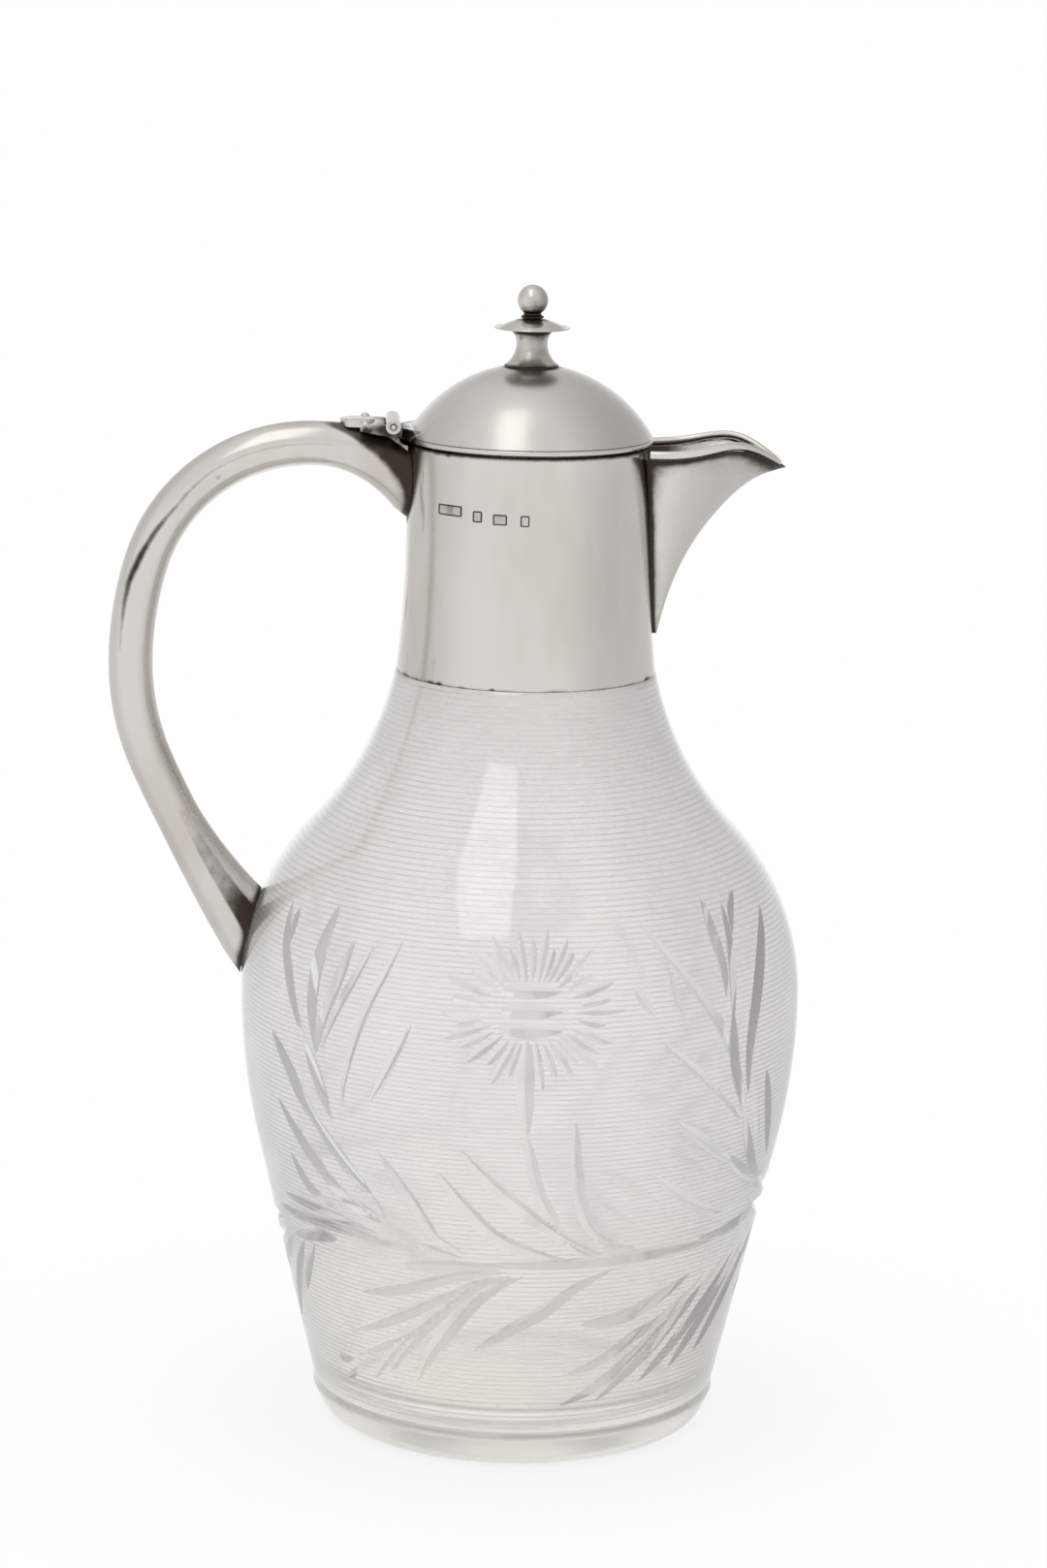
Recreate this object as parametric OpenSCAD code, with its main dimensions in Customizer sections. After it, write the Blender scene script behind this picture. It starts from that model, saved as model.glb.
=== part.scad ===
// Claret jug: a cut-glass vessel in a sheet-silver mount with a hinged, domed lid.
// Origin at the centre of the foot, +Z up, spout towards +X, handle towards -X.

/* [Glass body] */
// Radius of the flat that the jug stands on
foot_r = 40; // [34:0.5:42]
// Radius of the plain base band at its top
base_r = 47.3; // [46:0.1:50]
// Height of the plain base band
band_h = 9; // [7:0.5:12]
// Radius of the rounded bottom edge
foot_round = 6; // [4:0.5:6.5]
// Depth of the groove above the base band
ring_groove = 0.9; // [0.4:0.1:1.5]
// Widest radius of the glass
belly_r = 65.2; // [62:0.1:68]
// Height of the widest place
belly_z = 103; // [98:1:108]
// Radius of the long curve below the widest place
lower_curve_r = 149; // [130:1:170]
// Radius of the shoulder curve
shoulder_r = 56.5; // [52:0.5:60]
// Slope of the shoulder where it turns into the neck, from the vertical
shoulder_slope = 44; // [38:1:50]
// Thickness of the glass wall
glass_wall = 4.6; // [3:0.1:6]
// Thickness of the glass floor
glass_floor = 11; // [8:0.5:16]
// Height at which the glass ends inside the collar
mouth_z = 200; // [195:1:204]

/* [Collar] */
// Outer radius of the collar where it is straight
collar_r = 28; // [26.5:0.1:29.5]
// Outer radius of the collar at its lower edge
collar_foot_r = 29.9; // [29.6:0.1:31]
// Height of the collar's lower edge
collar_z = 178.3; // [174:0.5:182]
// Height at which the collar starts to widen downwards
flare_z = 212; // [205:1:216]
// Height of the collar's upper edge
collar_top = 231; // [226:0.5:236]
// Thickness of the collar's sheet
collar_t = 1.2; // [0.8:0.1:1.6]
// Thickness of the cement round the glass neck
cement_t = 1.3; // [0.8:0.1:2]

/* [Spout] */
// How far the spout's tip reaches out from the jug's axis
spout_reach = 60; // [56:0.5:66]
// Height of the spout's lowest point on the collar
spout_z = 186; // [183:0.5:192]
// Half width of the spout where its rim leaves the collar
spout_half_w = 11.3; // [9:0.1:12.5]
// How far the tip droops below the rim at the collar
tip_droop = 2.8; // [1.5:0.1:4]
// How far the rim rises between the collar and the tip
rim_rise = 2.2; // [1:0.1:3]
// Thickness of the spout's sheet
spout_t = 1.1; // [0.8:0.1:1.5]
// Width of the rim moulding
lip_w = 1.6; // [1.2:0.1:2]
// Height of the rim moulding
lip_h = 1.9; // [1.4:0.1:2.2]

/* [Handle] */
// Half thickness of the handle's tube
tube_r = 5.1; // [4.4:0.1:6]
// Half width of the tube's flare at the collar
top_flare_r = 7.7; // [6.5:0.1:8.5]
// Half width of that flare on its underside
under_flare_r = 9.2; // [8:0.1:11]
// Half width of the tube's flare at the glass, on its outer side
end_flare_r = 7; // [6.4:0.1:8]
// Half width of that flare on the side towards the jug
inner_flare_r = 10; // [8:0.1:12]
// Thickness of the tube's wall
tube_t = 1; // [0.7:0.1:1.4]
// How far the back of the handle lies from the jug's axis, at the tube's centre
handle_reach = 91; // [86:0.5:96]
// Height of the handle's highest stretch, at the tube's centre
handle_top_z = 230.3; // [226:0.5:232]
// Height at which the handle's back is upright
handle_back_z = 179; // [172:1:186]

/* [Hinge] */
// Distance of the hinge pin from the jug's axis
hinge_x = 31.4; // [31:0.1:33]
// Height of the hinge pin
hinge_z = 235.2; // [234.8:0.1:236.5]
// Length of the five knuckles together
hinge_w = 16; // [12:0.5:18]
// Outer radius of the knuckles
knuckle_r = 1.75; // [1.6:0.05:2]
// Radius of the hinge pin
pin_r = 0.85; // [0.6:0.05:1.1]
// Gap between neighbouring knuckles
knuckle_gap = 0.15; // [0.1:0.01:0.25]
// Radial clearance between the pin and the knuckles
pin_clear = 0.04; // [0.02:0.01:0.08]
// Thickness of the fixed plate
plate_t = 1.7; // [1.4:0.1:2]
// Height of the tongue above the fixed plate
tongue_up = 0.8; // [0.4:0.1:1.2]
// Width of the narrow tongue on the handle
tongue_w = 8; // [6:0.5:10]
// Distance of the tongue's end from the jug's axis
tongue_x = 43.5; // [42:0.5:47]
// Half width of the lid's leaf where it meets the dome
leaf_half_w = 12; // [9:0.5:13]

/* [Lid] */
// Radius of the dome's curve
dome_r = 32.4; // [31:0.1:38]
// Thickness of the dome
dome_t = 1.2; // [0.9:0.1:1.6]
// Radius of the lid's rim
lid_r = 28.1; // [27:0.1:29.5]
// Thickness of the lid's rim ring
lid_rim_t = 1.5; // [1:0.1:2]
// Gap between the closed lid and the collar
lid_gap = 0.3; // [0.25:0.05:0.4]
// Depth of the flange that goes into the collar
bezel_h = 2.5; // [1.5:0.5:3]
// Gap between the flange and the collar
bezel_gap = 0.65; // [0.6:0.05:1]
// Thickness of the flange
bezel_t = 0.9; // [0.7:0.1:1.2]

/* [Finial] */
// Narrowest radius of the finial's stem
stem_r = 3.3; // [2.6:0.1:4]
// Radius of the stem's foot
stem_foot_r = 6.2; // [5.2:0.1:7]
// Height of the stem
stem_h = 8.3; // [7:0.1:10]
// Radius of the finial's saucer
saucer_r = 8.7; // [7.5:0.1:10]
// Height of the saucer
saucer_h = 2.8; // [2.2:0.1:3.4]
// Radius of the finial's ball
ball_r = 3.5; // [2.8:0.1:4.2]
// Height of the ball's centre above the saucer
ball_up = 4.1; // [3.8:0.1:5]
// Radius of the rod inside the finial
stud_r = 1; // [0.7:0.05:1.1]

/* [Hidden] */
$fn = 96;
fine = 288;        // sides of a large round that cuts a small piece
silver = "#c8c5be";
glass = "#e4e6df";
plaster = "#d9d2c3";
bed = 0.04;        // clearance between pieces that are cemented or soldered together
step_deg = 4;      // turn of one step along a curved outline
far = 400;         // longer than anything in the jug

// Points of an arc about c, from angle a0 to a1
function arc(c, r, a0, a1) =
  let (n = max(2, ceil(abs(a1 - a0) / step_deg)))
  [for (i = [0 : n]) let (a = a0 + (a1 - a0) * i / n) c + r * [cos(a), sin(a)]];
function mix(a, b, t) = a + (b - a) * t;

// ---- Outline of the glass: base band, straight taper, belly, shoulder and neck ----
lower_c = [belly_r - lower_curve_r, belly_z];
shoulder_c = [belly_r - shoulder_r, belly_z];
band_top = [base_r, band_h];
to_band = band_top - lower_c;
taper_a = atan2(to_band[1], to_band[0]) + acos(lower_curve_r / norm(to_band));
shoulder_end = shoulder_c + shoulder_r * [cos(shoulder_slope), sin(shoulder_slope)];
neck_foot = [collar_foot_r + 0.3, collar_z];
neck_chord = shoulder_end - neck_foot;
neck_half_turn = shoulder_slope - atan2(neck_chord[0], -neck_chord[1]);
neck_curve_r = norm(neck_chord) / (2 * sin(neck_half_turn));
neck_c = shoulder_end + neck_curve_r * [cos(shoulder_slope), sin(shoulder_slope)];

// The outline between the base band and the collar, moved inwards by d
function side(d) = concat(
  arc(lower_c, lower_curve_r - d, taper_a, 0),
  arc(shoulder_c, shoulder_r - d, step_deg, shoulder_slope),
  arc(neck_c, neck_curve_r + d, 180 + shoulder_slope - 3, 180 + shoulder_slope - 2 * neck_half_turn));

// ---- Collar ----
flare_r = (pow(flare_z - collar_z, 2)) / (2 * (collar_foot_r - collar_r));
function collar_out(z) = collar_r + pow(max(0, flare_z - z), 2) / (2 * flare_r);
function collar_line(z0, z1, d) =
  [for (i = [0 : 8]) let (z = mix(z0, z1, i / 8)) [collar_out(z) - d, z]];
neck_in = collar_t + bed;
neck_out = neck_in + cement_t + bed;

module glass_profile() {
  inner_top = collar_out(mouth_z) - neck_out - glass_wall;
  mouth_round = glass_wall / 2;
  polygon(concat(
    [[0, 0]],
    arc([foot_r, foot_round], foot_round, -90, -20),
    [[base_r, band_h - ring_groove], [base_r - ring_groove, band_h], [base_r, band_h + ring_groove]],
    side(0),
    [[neck_foot[0], collar_z], [collar_out(collar_z) - neck_out, collar_z]],
    collar_line(collar_z + 0.5, mouth_z - mouth_round, neck_out),
    arc([inner_top + mouth_round, mouth_z - mouth_round], mouth_round, 10, 180),
    reverse(inner_side()),
    [[0, glass_floor]]));
}
function reverse(v) = [for (i = [len(v) - 1 : -1 : 0]) v[i]];
// The inner outline starts with a rounded corner at the floor
function inner_side() = let (
    low = lower_c + (lower_curve_r - glass_wall) * [cos(taper_a), sin(taper_a)],
    slope = tan(-taper_a),
    corner = 9,
    floor_x = low[0] - (low[1] - glass_floor) * slope - corner * (1 - slope))
  concat(arc([floor_x, glass_floor + corner], corner, -90, taper_a), side(glass_wall));

module glass_body() {
  color(glass) rotate_extrude() glass_profile();
}

module neck_cement() {
  color(plaster) rotate_extrude() polygon(concat(
    collar_line(collar_z + 1, mouth_z - glass_wall / 2, neck_out - bed),
    reverse(collar_line(collar_z + 1, mouth_z - glass_wall / 2, neck_in))));
}

// ---- Spout ----
// Height on the spout's seam and nose for s from 0 (lowest point) to 1 (rim)
seam_top = collar_top - lip_h - 0.1;
nose_top = seam_top - tip_droop;
nose_foot = 0.6;     // how far the nose stands out at its lowest point
nose_out = spout_reach - collar_out(spout_z) - nose_foot;
seam_in = 0.6;       // depth to which the sheet runs into the collar before it is trimmed
rows = 15;
cols = 14;
// Share of the spout's reach that its nose has at share q of its height
function throat(q) = 0.42 * q + 0.42 * pow(q, 3) + 0.16 * pow(q, 24);
function seam_half(s) = spout_half_w * pow(s, 1.3);
// Height of the rim above the line of the wall, along the way out
function rim_lift(x) = rim_rise * pow(sin(180 * pow(x, 1.73)), 2);
// Half width along the way out, as a share of that at the seam
function bulge(x, s) = mix(pow(1 - x * x, 0.55),
  (1 + 0.5 * sqrt(x) * (1 - x)) * pow(1 - pow(x, 3.4), 0.65), s * s);
// A point of the wall at height share s, from the near seam (u = -1) to the far one (u = 1);
// t is how far the point lies inside the outer face
function wall(u, s, t) = let (
    z0 = mix(spout_z, seam_top, s),
    z1 = mix(spout_z, nose_top, s),
    half = max(seam_half(s) - t, 0.15),
    seam_x = sqrt(pow(collar_out(z0) - seam_in, 2) - half * half),
    nose_x = max(collar_out(z0) + nose_out * throat(s) + nose_foot - t * (1 + 2.4 * s), collar_out(z0) + 0.3),
    x = sin(90 * (1 - abs(u))),
    out = mix(seam_x, nose_x, x),
    z = mix(z0, z1, pow(x, mix(2.2, 8, pow(s, 4)))) + rim_lift(x) * pow(s, 4))
  [out, sign(u) * half * bulge(x, s), z];
function wall_u(j) = mix(-1, 1, j / cols);
function wall_s(i) = mix(0.05, 1, pow(i / rows, 0.8));

// Closes a grid of rings (equal counts of points) into a solid, ring by ring
function ring_faces(n_rings, n) = [for (i = [0 : n_rings - 2], j = [0 : n - 1])
  let (a = i * n + j, b = i * n + (j + 1) % n, c = a + n, d = b + n) each [[a, d, b], [a, c, d]]];

// The sheet as rings: the outer face from seam to seam, then the inner face back
module spout_sheet() {
  n = 2 * (cols + 1);
  rings = [for (i = [0 : rows]) let (s = wall_s(i)) concat(
    [for (j = [0 : cols]) wall(wall_u(j), s, 0)],
    [for (j = [cols : -1 : 0]) wall(wall_u(j), s, spout_t)])];
  strip = function (k, up) [for (j = [0 : cols - 1])
    let (a = k + j, b = k + j + 1, c = k + n - 1 - j, d = k + n - 2 - j)
    each up ? [[a, b, c], [b, d, c]] : [[a, c, b], [b, c, d]]];
  polyhedron(points = [for (r = rings) each r],
    faces = concat(ring_faces(rows + 1, n), strip(0, true), strip(rows * n, false)), convexity = 6);
}

module spout() {
  color(silver) difference() {
    spout_sheet();
    lower_edge_cut();
  }
}

// Keeps the sheet off the collar's wall
module lower_edge_cut() {
  rotate_extrude() polygon(concat([[0, spout_z - 10]], collar_line(spout_z - 10, collar_top + 8, -bed),
    [[0, collar_top + 8]]));
}

// The rim moulding follows the sheet's upper edge
lip_n = 8;
lip_bed = 0.12;      // clearance under the moulding
function rim_point(u) = wall(u, 1, spout_t / 2) + [0, 0, lip_h / 2 + lip_bed];
module sweep(path, section) {
  m = len(path);
  n = len(section(0));
  points = [for (i = [0 : m - 1]) each section(i)];
  faces = concat(ring_faces(m, n), [[for (j = [0 : n - 1]) j]], [[for (j = [n - 1 : -1 : 0]) (m - 1) * n + j]]);
  polyhedron(points = points, faces = faces, convexity = 8);
}
module spout_lip_wire() {
  stations = 36;
  path = [for (i = [0 : stations]) rim_point(mix(-0.97, 0.97, i / stations))];
  color(silver) difference() {
    sweep(path, function (i) let (
        ahead = path[min(i + 1, stations)] - path[max(i - 1, 0)],
        flat = [ahead[0], ahead[1], 0] / norm([ahead[0], ahead[1]]),
        side_way = [-flat[1], flat[0], 0])
      [for (k = [0 : lip_n - 1]) let (a = 360 * (k + 0.5) / lip_n)
        path[i] + side_way * cos(a) * lip_w / 2 / cos(180 / lip_n)
        + [0, 0, 1] * sin(a) * lip_h / 2 / cos(180 / lip_n)]);
    lower_edge_cut();
  }
}

window_z = mouth_z + 3;
module collar() {
  window = function (z) max(seam_half((z - spout_z) / (seam_top - spout_z)) - spout_t - 0.4, 0.6);
  color(silver) difference() {
    rotate_extrude() polygon(concat(collar_line(collar_z + bed, collar_top, 0),
      reverse(collar_line(collar_z + bed, collar_top, collar_t))));
    rotate([90, 0, 90]) linear_extrude(far) polygon(concat(
      [for (i = [0 : 7]) let (z = mix(window_z, collar_top + 1, i / 7)) [window(z), z]],
      [for (i = [7 : -1 : 0]) let (z = mix(window_z, collar_top + 1, i / 7)) [-window(z), z]]));
  }
}

// ---- Handle: one curve of arcs, given as centre points, with flares at both ends ----
// A turn of the curve from p, of radius r, from slope a0 to a1; slopes are measured from -X down
function turn(p, r, a0, a1, n) = [for (i = [0 : n]) let (a = mix(a0, a1, i / n))
  [p[0] - r * (sin(a) - sin(a0)), p[1] - r * (cos(a0) - cos(a)), a]];
back = [-handle_reach, handle_back_z];
// Upper bend: from the upright back to level at the top
bend_a = 73;
bend_foot_r = 80;
bend_foot = [back[0] + bend_foot_r * (1 - sin(bend_a)), back[1] + bend_foot_r * cos(bend_a)];
bend_r = (handle_top_z - bend_foot[1]) / (1 - cos(bend_a));
bend_top = [bend_foot[0] + bend_r * sin(bend_a), handle_top_z];
// Short fall from the top to the collar
fall = 6.9;
fall_run = bend_top[0] + collar_r - 2;
fall_r = (fall_run * fall_run + fall * fall) / (2 * fall);
// The curve runs on for this length past the collar's face, which trims it
root_in = 6;
root_a = asin(-fall_run / fall_r) + root_in / fall_r * 180 / PI;
root_start = [bend_top[0] + fall_r * sin(root_a), handle_top_z - fall_r * (1 - cos(root_a))];
low_a = 114;
touch_a = 124.5;
end_a = 126.5;
low_r = 57.6;
low_foot = [back[0] + low_r * (1 - sin(low_a)), back[1] + low_r * cos(low_a)];
// At touch_a the last arc is this far inside the widest radius of the glass; the glass trims the rest
end_in = 1.9;
tail_r = (belly_r - end_in + low_foot[0]) / (sin(touch_a) - sin(low_a));
spine = concat(
  turn(root_start, fall_r, -root_a, 0, 8),
  [for (p = turn(bend_top, bend_r, 0, bend_a, 15)) if (p[2] > 0) p],
  [for (p = turn(bend_foot, bend_foot_r, bend_a, 90, 4)) if (p[2] > bend_a) p],
  [for (p = turn(back, low_r, 90, low_a, 6)) if (p[2] > 90) p],
  [for (p = turn(low_foot, tail_r, low_a, end_a, 10)) if (p[2] > low_a) p]);
spine_n = len(spine);
tube_sides = 20;
function spine_at(i) = [spine[i][0], spine[i][1]];
// Distance along the spine from its first point to point i
function run_to(i) = i == 0 ? 0 : run_to(i - 1) + norm(spine_at(i) - spine_at(i - 1));
spine_run = [for (i = [0 : spine_n - 1]) run_to(i)];
total_run = spine_run[spine_n - 1];
trimmed_run = tail_r * (end_a - touch_a) * PI / 180;
top_flare_len = 22;
end_flare_len = 34;
function flare_up(i) = pow(1 - min(max(spine_run[i] - root_in, 0) / top_flare_len, 1), 1.6);
function flare_down(i) =
  pow(1 - min(max(total_run - trimmed_run - spine_run[i], 0) / end_flare_len, 1), 1.5);
// Half thickness in the handle's own plane, and across it
function tube_in(i) = tube_r + (top_flare_r - tube_r) * flare_up(i) + (end_flare_r - tube_r) * flare_down(i);
function tube_across(i) = tube_r + (top_flare_r - tube_r) * flare_up(i)
  + 0.5 * (end_flare_r - tube_r) * flare_down(i);
function tube_ring(i, t) = [for (k = [0 : tube_sides - 1]) let (
    a = 360 * k / tube_sides,
    more = (under_flare_r - top_flare_r) * flare_up(i) + (inner_flare_r - end_flare_r) * flare_down(i),
    up = (tube_in(i) - t) * cos(a) + more * min(cos(a), 0),
    slope = spine[i][2])
  [spine[i][0] - up * sin(slope), (tube_across(i) - t) * sin(a), spine[i][1] + up * cos(slope)]];

module tube(t) {
  sweep(spine, function (i) tube_ring(i, t));
}
// The tube's wall as one solid, with ring-shaped ends
module tube_wall() {
  n = tube_sides;
  points = [for (t = [0, tube_t], i = [0 : spine_n - 1]) each tube_ring(i, t)];
  inner = spine_n * n;
  last = (spine_n - 1) * n;
  ends = [for (j = [0 : n - 1]) let (k = (j + 1) % n) each [
    [j, k, inner + k], [j, inner + k, inner + j],
    [last + j, inner + last + k, last + k], [last + j, inner + last + j, inner + last + k]]];
  polyhedron(points = points, convexity = 8, faces = concat(ends, ring_faces(spine_n, n),
    [for (f = ring_faces(spine_n, n)) [f[0] + inner, f[2] + inner, f[1] + inner]]));
}
// The glass with a skin of d, near the handle's lower end
module glass_guard(d) {
  z0 = spine_at(spine_n - 1)[1] - 2 * end_flare_r;
  z1 = z0 + 2 * end_flare_len;
  line = [for (p = side(-d)) if (p[1] > z0 && p[1] < z1) p];
  rotate_extrude() polygon(concat([[0, line[0][1]]], line, [[0, line[len(line) - 1][1]]]));
}
module collar_guard() {
  cylinder(r = collar_r + bed, h = far);
}
// Room above the collar for the lid's rim and leaf
module lid_room() {
  translate([0, 0, collar_top - bed]) cylinder(r = lid_r + knuckle_room_gap, h = knuckle_r + lid_rim_t);
}
module handle_tube() {
  color(silver) difference() {
    tube_wall();
    collar_guard();
    lid_room();
    leaf_root_room();
    knuckle_room([0 : 4], bed);
    glass_guard(glass_gap);
  }
}
glass_gap = 0.3;
filling_depth = 12;
module handle_end_filling() {
  color(plaster) difference() {
    intersection() {
      tube(tube_t + bed);
      glass_guard(filling_depth);
    }
    glass_guard(bed);
  }
}

// ---- Hinge ----
knuckle_l = (hinge_w - 4 * knuckle_gap) / 5;
function knuckle_y(k) = -hinge_w / 2 + k * (knuckle_l + knuckle_gap);
module at_pin() {
  translate([-hinge_x, 0, hinge_z]) rotate([-90, 0, 0]) children();
}
module knuckle(k) {
  color(silver) at_pin() translate([0, 0, knuckle_y(k)]) difference() {
    cylinder(r = knuckle_r, h = knuckle_l);
    translate([0, 0, -1]) cylinder(r = pin_r + pin_clear, h = knuckle_l + 2);
  }
}
// Room round the knuckles listed in ks, with d to spare
module knuckle_room(ks, d) {
  for (k = ks)
    at_pin() translate([0, 0, knuckle_y(k) - knuckle_gap]) cylinder(r = knuckle_r + d, h = knuckle_l + 2 * knuckle_gap);
}
module knuckle_fixed_near() knuckle(0);
module knuckle_lid_near() knuckle(1);
module knuckle_fixed_mid() knuckle(2);
module knuckle_lid_far() knuckle(3);
module knuckle_fixed_far() knuckle(4);
head_r = pin_r + 0.25;
head_h = 0.4;
head_bevel = 0.2;
module hinge_pin() {
  color(silver) at_pin() translate([0, 0, -hinge_w / 2]) cylinder(r = pin_r, h = hinge_w);
}
module pin_head_near() {
  color(silver) at_pin() translate([0, 0, -hinge_w / 2 - head_h])
    cylinder(r1 = head_r - head_bevel, r2 = head_r, h = head_h);
}
module pin_head_far() {
  color(silver) at_pin() translate([0, 0, hinge_w / 2])
    cylinder(r1 = head_r, r2 = head_r - head_bevel, h = head_h);
}

// An outline in the plane of the handle, given width w across it
module across(w) {
  rotate([90, 0, 0]) translate([0, 0, -w / 2]) linear_extrude(w) children();
}
plate_top = hinge_z + 0.2;
shoulder_x = hinge_x + 7.5;
ear_r = 1.2;
knuckle_room_gap = 0.3;
module hinge_plate() {
  lip_top = collar_top - 0.1;
  lip_h = 1.1;
  color(silver) difference() {
    union() {
      // the wide part falls from the shoulder past the knuckles to the collar's upper edge
      across(hinge_w) polygon([
        [-shoulder_x, plate_top + 0.4], [-hinge_x, plate_top - 0.1], [-hinge_x + 0.8, hinge_z - knuckle_r],
        [-collar_r - 1.5, lip_top + 0.5], [-collar_r - bed, lip_top], [-collar_r - bed, lip_top - lip_h],
        [-hinge_x - 1, plate_top - plate_t - 0.8], [-shoulder_x, plate_top + 0.4 - plate_t]]);
      // tongue on the handle
      translate([0, 0, plate_top + tongue_up - plate_t]) {
        translate([-tongue_x + tongue_w / 2, 0, 0]) cylinder(d = tongue_w, h = plate_t);
        translate([-tongue_x + tongue_w / 2, -tongue_w / 2, 0])
          cube([tongue_x - tongue_w / 2 - shoulder_x + 1, tongue_w, plate_t]);
      }
      // rounded ears at the shoulder
      for (m = [0, 1]) mirror([0, m, 0])
        translate([-shoulder_x + ear_r, hinge_w / 2 - ear_r, plate_top]) sphere(r = ear_r);
    }
    knuckle_room([1, 3], knuckle_room_gap);
    knuckle_room([0, 2, 4], bed);
    leaf_root_room();
    tube(-bed);
    collar_guard();
  }
}

lid_under = collar_top + lid_gap;
dome_base = lid_under + lid_rim_t;
dome_c = dome_base - sqrt(dome_r * dome_r - lid_r * lid_r);
module dome_solid(d) {
  translate([0, 0, dome_c]) sphere(r = dome_r + d);
}
leaf_root_x = hinge_x - 2;
leaf_root_w = 3 * knuckle_l + 2 * knuckle_gap - 0.1;
leaf_top = hinge_z - 0.6;
leaf_under = lid_under + 0.7;
// Room in the fixed plate for the leaf's root
module leaf_root_room() {
  under = leaf_under - 0.45;
  across(leaf_root_w + 2 * knuckle_room_gap) polygon([
    [-hinge_x - 0.2, hinge_z], [-hinge_x - 0.2, hinge_z - 1.9], [-leaf_root_x - 0.1, under],
    [-leaf_root_x + 3, under], [-leaf_root_x + 3, hinge_z]]);
}
module hinge_leaf_lid() {
  dome_x = sqrt(pow(lid_r - 0.8, 2) - leaf_half_w * leaf_half_w);
  inside_x = lid_r - 8;
  color(silver) difference() {
    union() {
      // root at the knuckles
      across(leaf_root_w) polygon([
        [-hinge_x, hinge_z - 1.5], [-hinge_x, hinge_z + 0.3], [-leaf_root_x, leaf_top - bed],
        [-leaf_root_x + 1, leaf_top - bed], [-leaf_root_x + 1, leaf_under + bed], [-leaf_root_x, leaf_under + bed]]);
      // wings that widen to the dome
      translate([0, 0, leaf_under]) linear_extrude(leaf_top - leaf_under) polygon([
        [-leaf_root_x, -leaf_root_w / 2 - 0.3], [-dome_x, -leaf_half_w], [-inside_x, -leaf_half_w],
        [-inside_x, leaf_half_w], [-dome_x, leaf_half_w], [-leaf_root_x, leaf_root_w / 2 + 0.3]]);
    }
    dome_solid(bed, $fn = fine);
    translate([0, 0, leaf_under - 1]) cylinder(r = lid_r + bed, h = dome_base + 0.4 - leaf_under + 1, $fn = fine);
    knuckle_room([0, 2, 4], knuckle_room_gap - 0.05);
    knuckle_room([1, 3], bed);
  }
}

// ---- Lid ----
module lid_dome() {
  color(silver) difference() {
    dome_solid(0);
    dome_solid(-dome_t);
    translate([0, 0, dome_base - far]) cylinder(r = far, h = far);
    translate([0, 0, dome_c]) cylinder(r = stud_r + 0.1, h = far);
  }
}
bezel_r = collar_r - collar_t - bezel_gap;
module lid_rim() {
  edge = lid_rim_t / 2;
  color(silver) rotate_extrude() polygon(concat(
    [[bezel_r - bezel_t, lid_under], [lid_r - edge, lid_under]],
    arc([lid_r + 0.1 - edge, lid_under + edge], edge, -70, 70),
    [[lid_r - edge, dome_base], [bezel_r - bezel_t, dome_base]]));
}
module lid_bezel() {
  color(silver) rotate_extrude() translate([bezel_r - bezel_t, lid_under - bezel_h])
    square([bezel_t, bezel_h]);
}

// ---- Finial ----
dome_top = dome_c + dome_r;
foot_z = dome_c + sqrt(dome_r * dome_r - stem_foot_r * stem_foot_r);
saucer_z = foot_z + stem_h;
saucer_top = saucer_z + saucer_h;
ball_z = saucer_z + saucer_h + ball_up;
module bored() {
  difference() {
    children();
    cylinder(r = stud_r + bed, h = far);
  }
}
module finial_stem() {
  // hollow-sided trumpet: radius as a function of the height share
  trumpet = function (t) stem_r + (stem_foot_r - stem_r) * pow(1 - t, 3.2) + 1.4 * pow(t, 5);
  color(silver) difference() {
    bored() rotate_extrude() polygon(concat(
      [[0, foot_z - 2]], [[stem_foot_r, foot_z - 2]],
      [for (i = [0 : 16]) [trumpet(i / 16), mix(foot_z + 0.35, saucer_z - bed, i / 16)]],
      [[0, saucer_z - bed]]));
    dome_solid(bed);
  }
}
module finial_saucer() {
  dish_r = (saucer_r * saucer_r + saucer_h * saucer_h) / (2 * saucer_h);
  half_a = asin(saucer_r / dish_r);
  color(silver) bored() rotate_extrude() polygon(concat(
    [[0, saucer_z], [stem_r + 1.6, saucer_z], [saucer_r, saucer_z + 0.5]],
    [for (p = arc([0, saucer_top - dish_r], dish_r, 90 - half_a + 4, 90)) p]));
}
module finial_ball() {
  neck_r = 2.1;
  color(silver) difference() {
    union() {
      translate([0, 0, ball_z]) sphere(r = ball_r);
      rotate_extrude() polygon([[0, saucer_top + bed], [neck_r + 0.4, saucer_top + bed],
        [neck_r + 0.5, saucer_top + 0.4], [neck_r, saucer_top + 0.8], [neck_r - 0.1, saucer_top + 1.3],
        [neck_r + 0.25, ball_z - ball_r + 1.1], [0, ball_z]]);
    }
    cylinder(r = stud_r + bed, h = ball_z);
  }
}
nut_h = 2.4;
washer_r = 4;
washer_t = 0.8;
washer_z = dome_c + sqrt(pow(dome_r - dome_t, 2) - washer_r * washer_r) - washer_t - bed;
module finial_stud() {
  color(silver) translate([0, 0, washer_z - nut_h - 1]) cylinder(r = stud_r, h = ball_z - washer_z + nut_h + 1 - bed);
}
module finial_washer() {
  color(silver) bored() translate([0, 0, washer_z]) cylinder(r = washer_r, h = washer_t);
}
module finial_nut() {
  color(silver) bored() translate([0, 0, washer_z - nut_h]) cylinder(r = 3, h = nut_h - bed, $fn = 6);
}

glass_body();
neck_cement();
collar();
spout();
spout_lip_wire();
handle_tube();
handle_end_filling();
hinge_plate();
knuckle_fixed_near();
knuckle_fixed_mid();
knuckle_fixed_far();
hinge_pin();
pin_head_near();
pin_head_far();
hinge_leaf_lid();
knuckle_lid_near();
knuckle_lid_far();
lid_dome();
lid_rim();
lid_bezel();
finial_stem();
finial_saucer();
finial_ball();
finial_stud();
finial_washer();
finial_nut();
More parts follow.
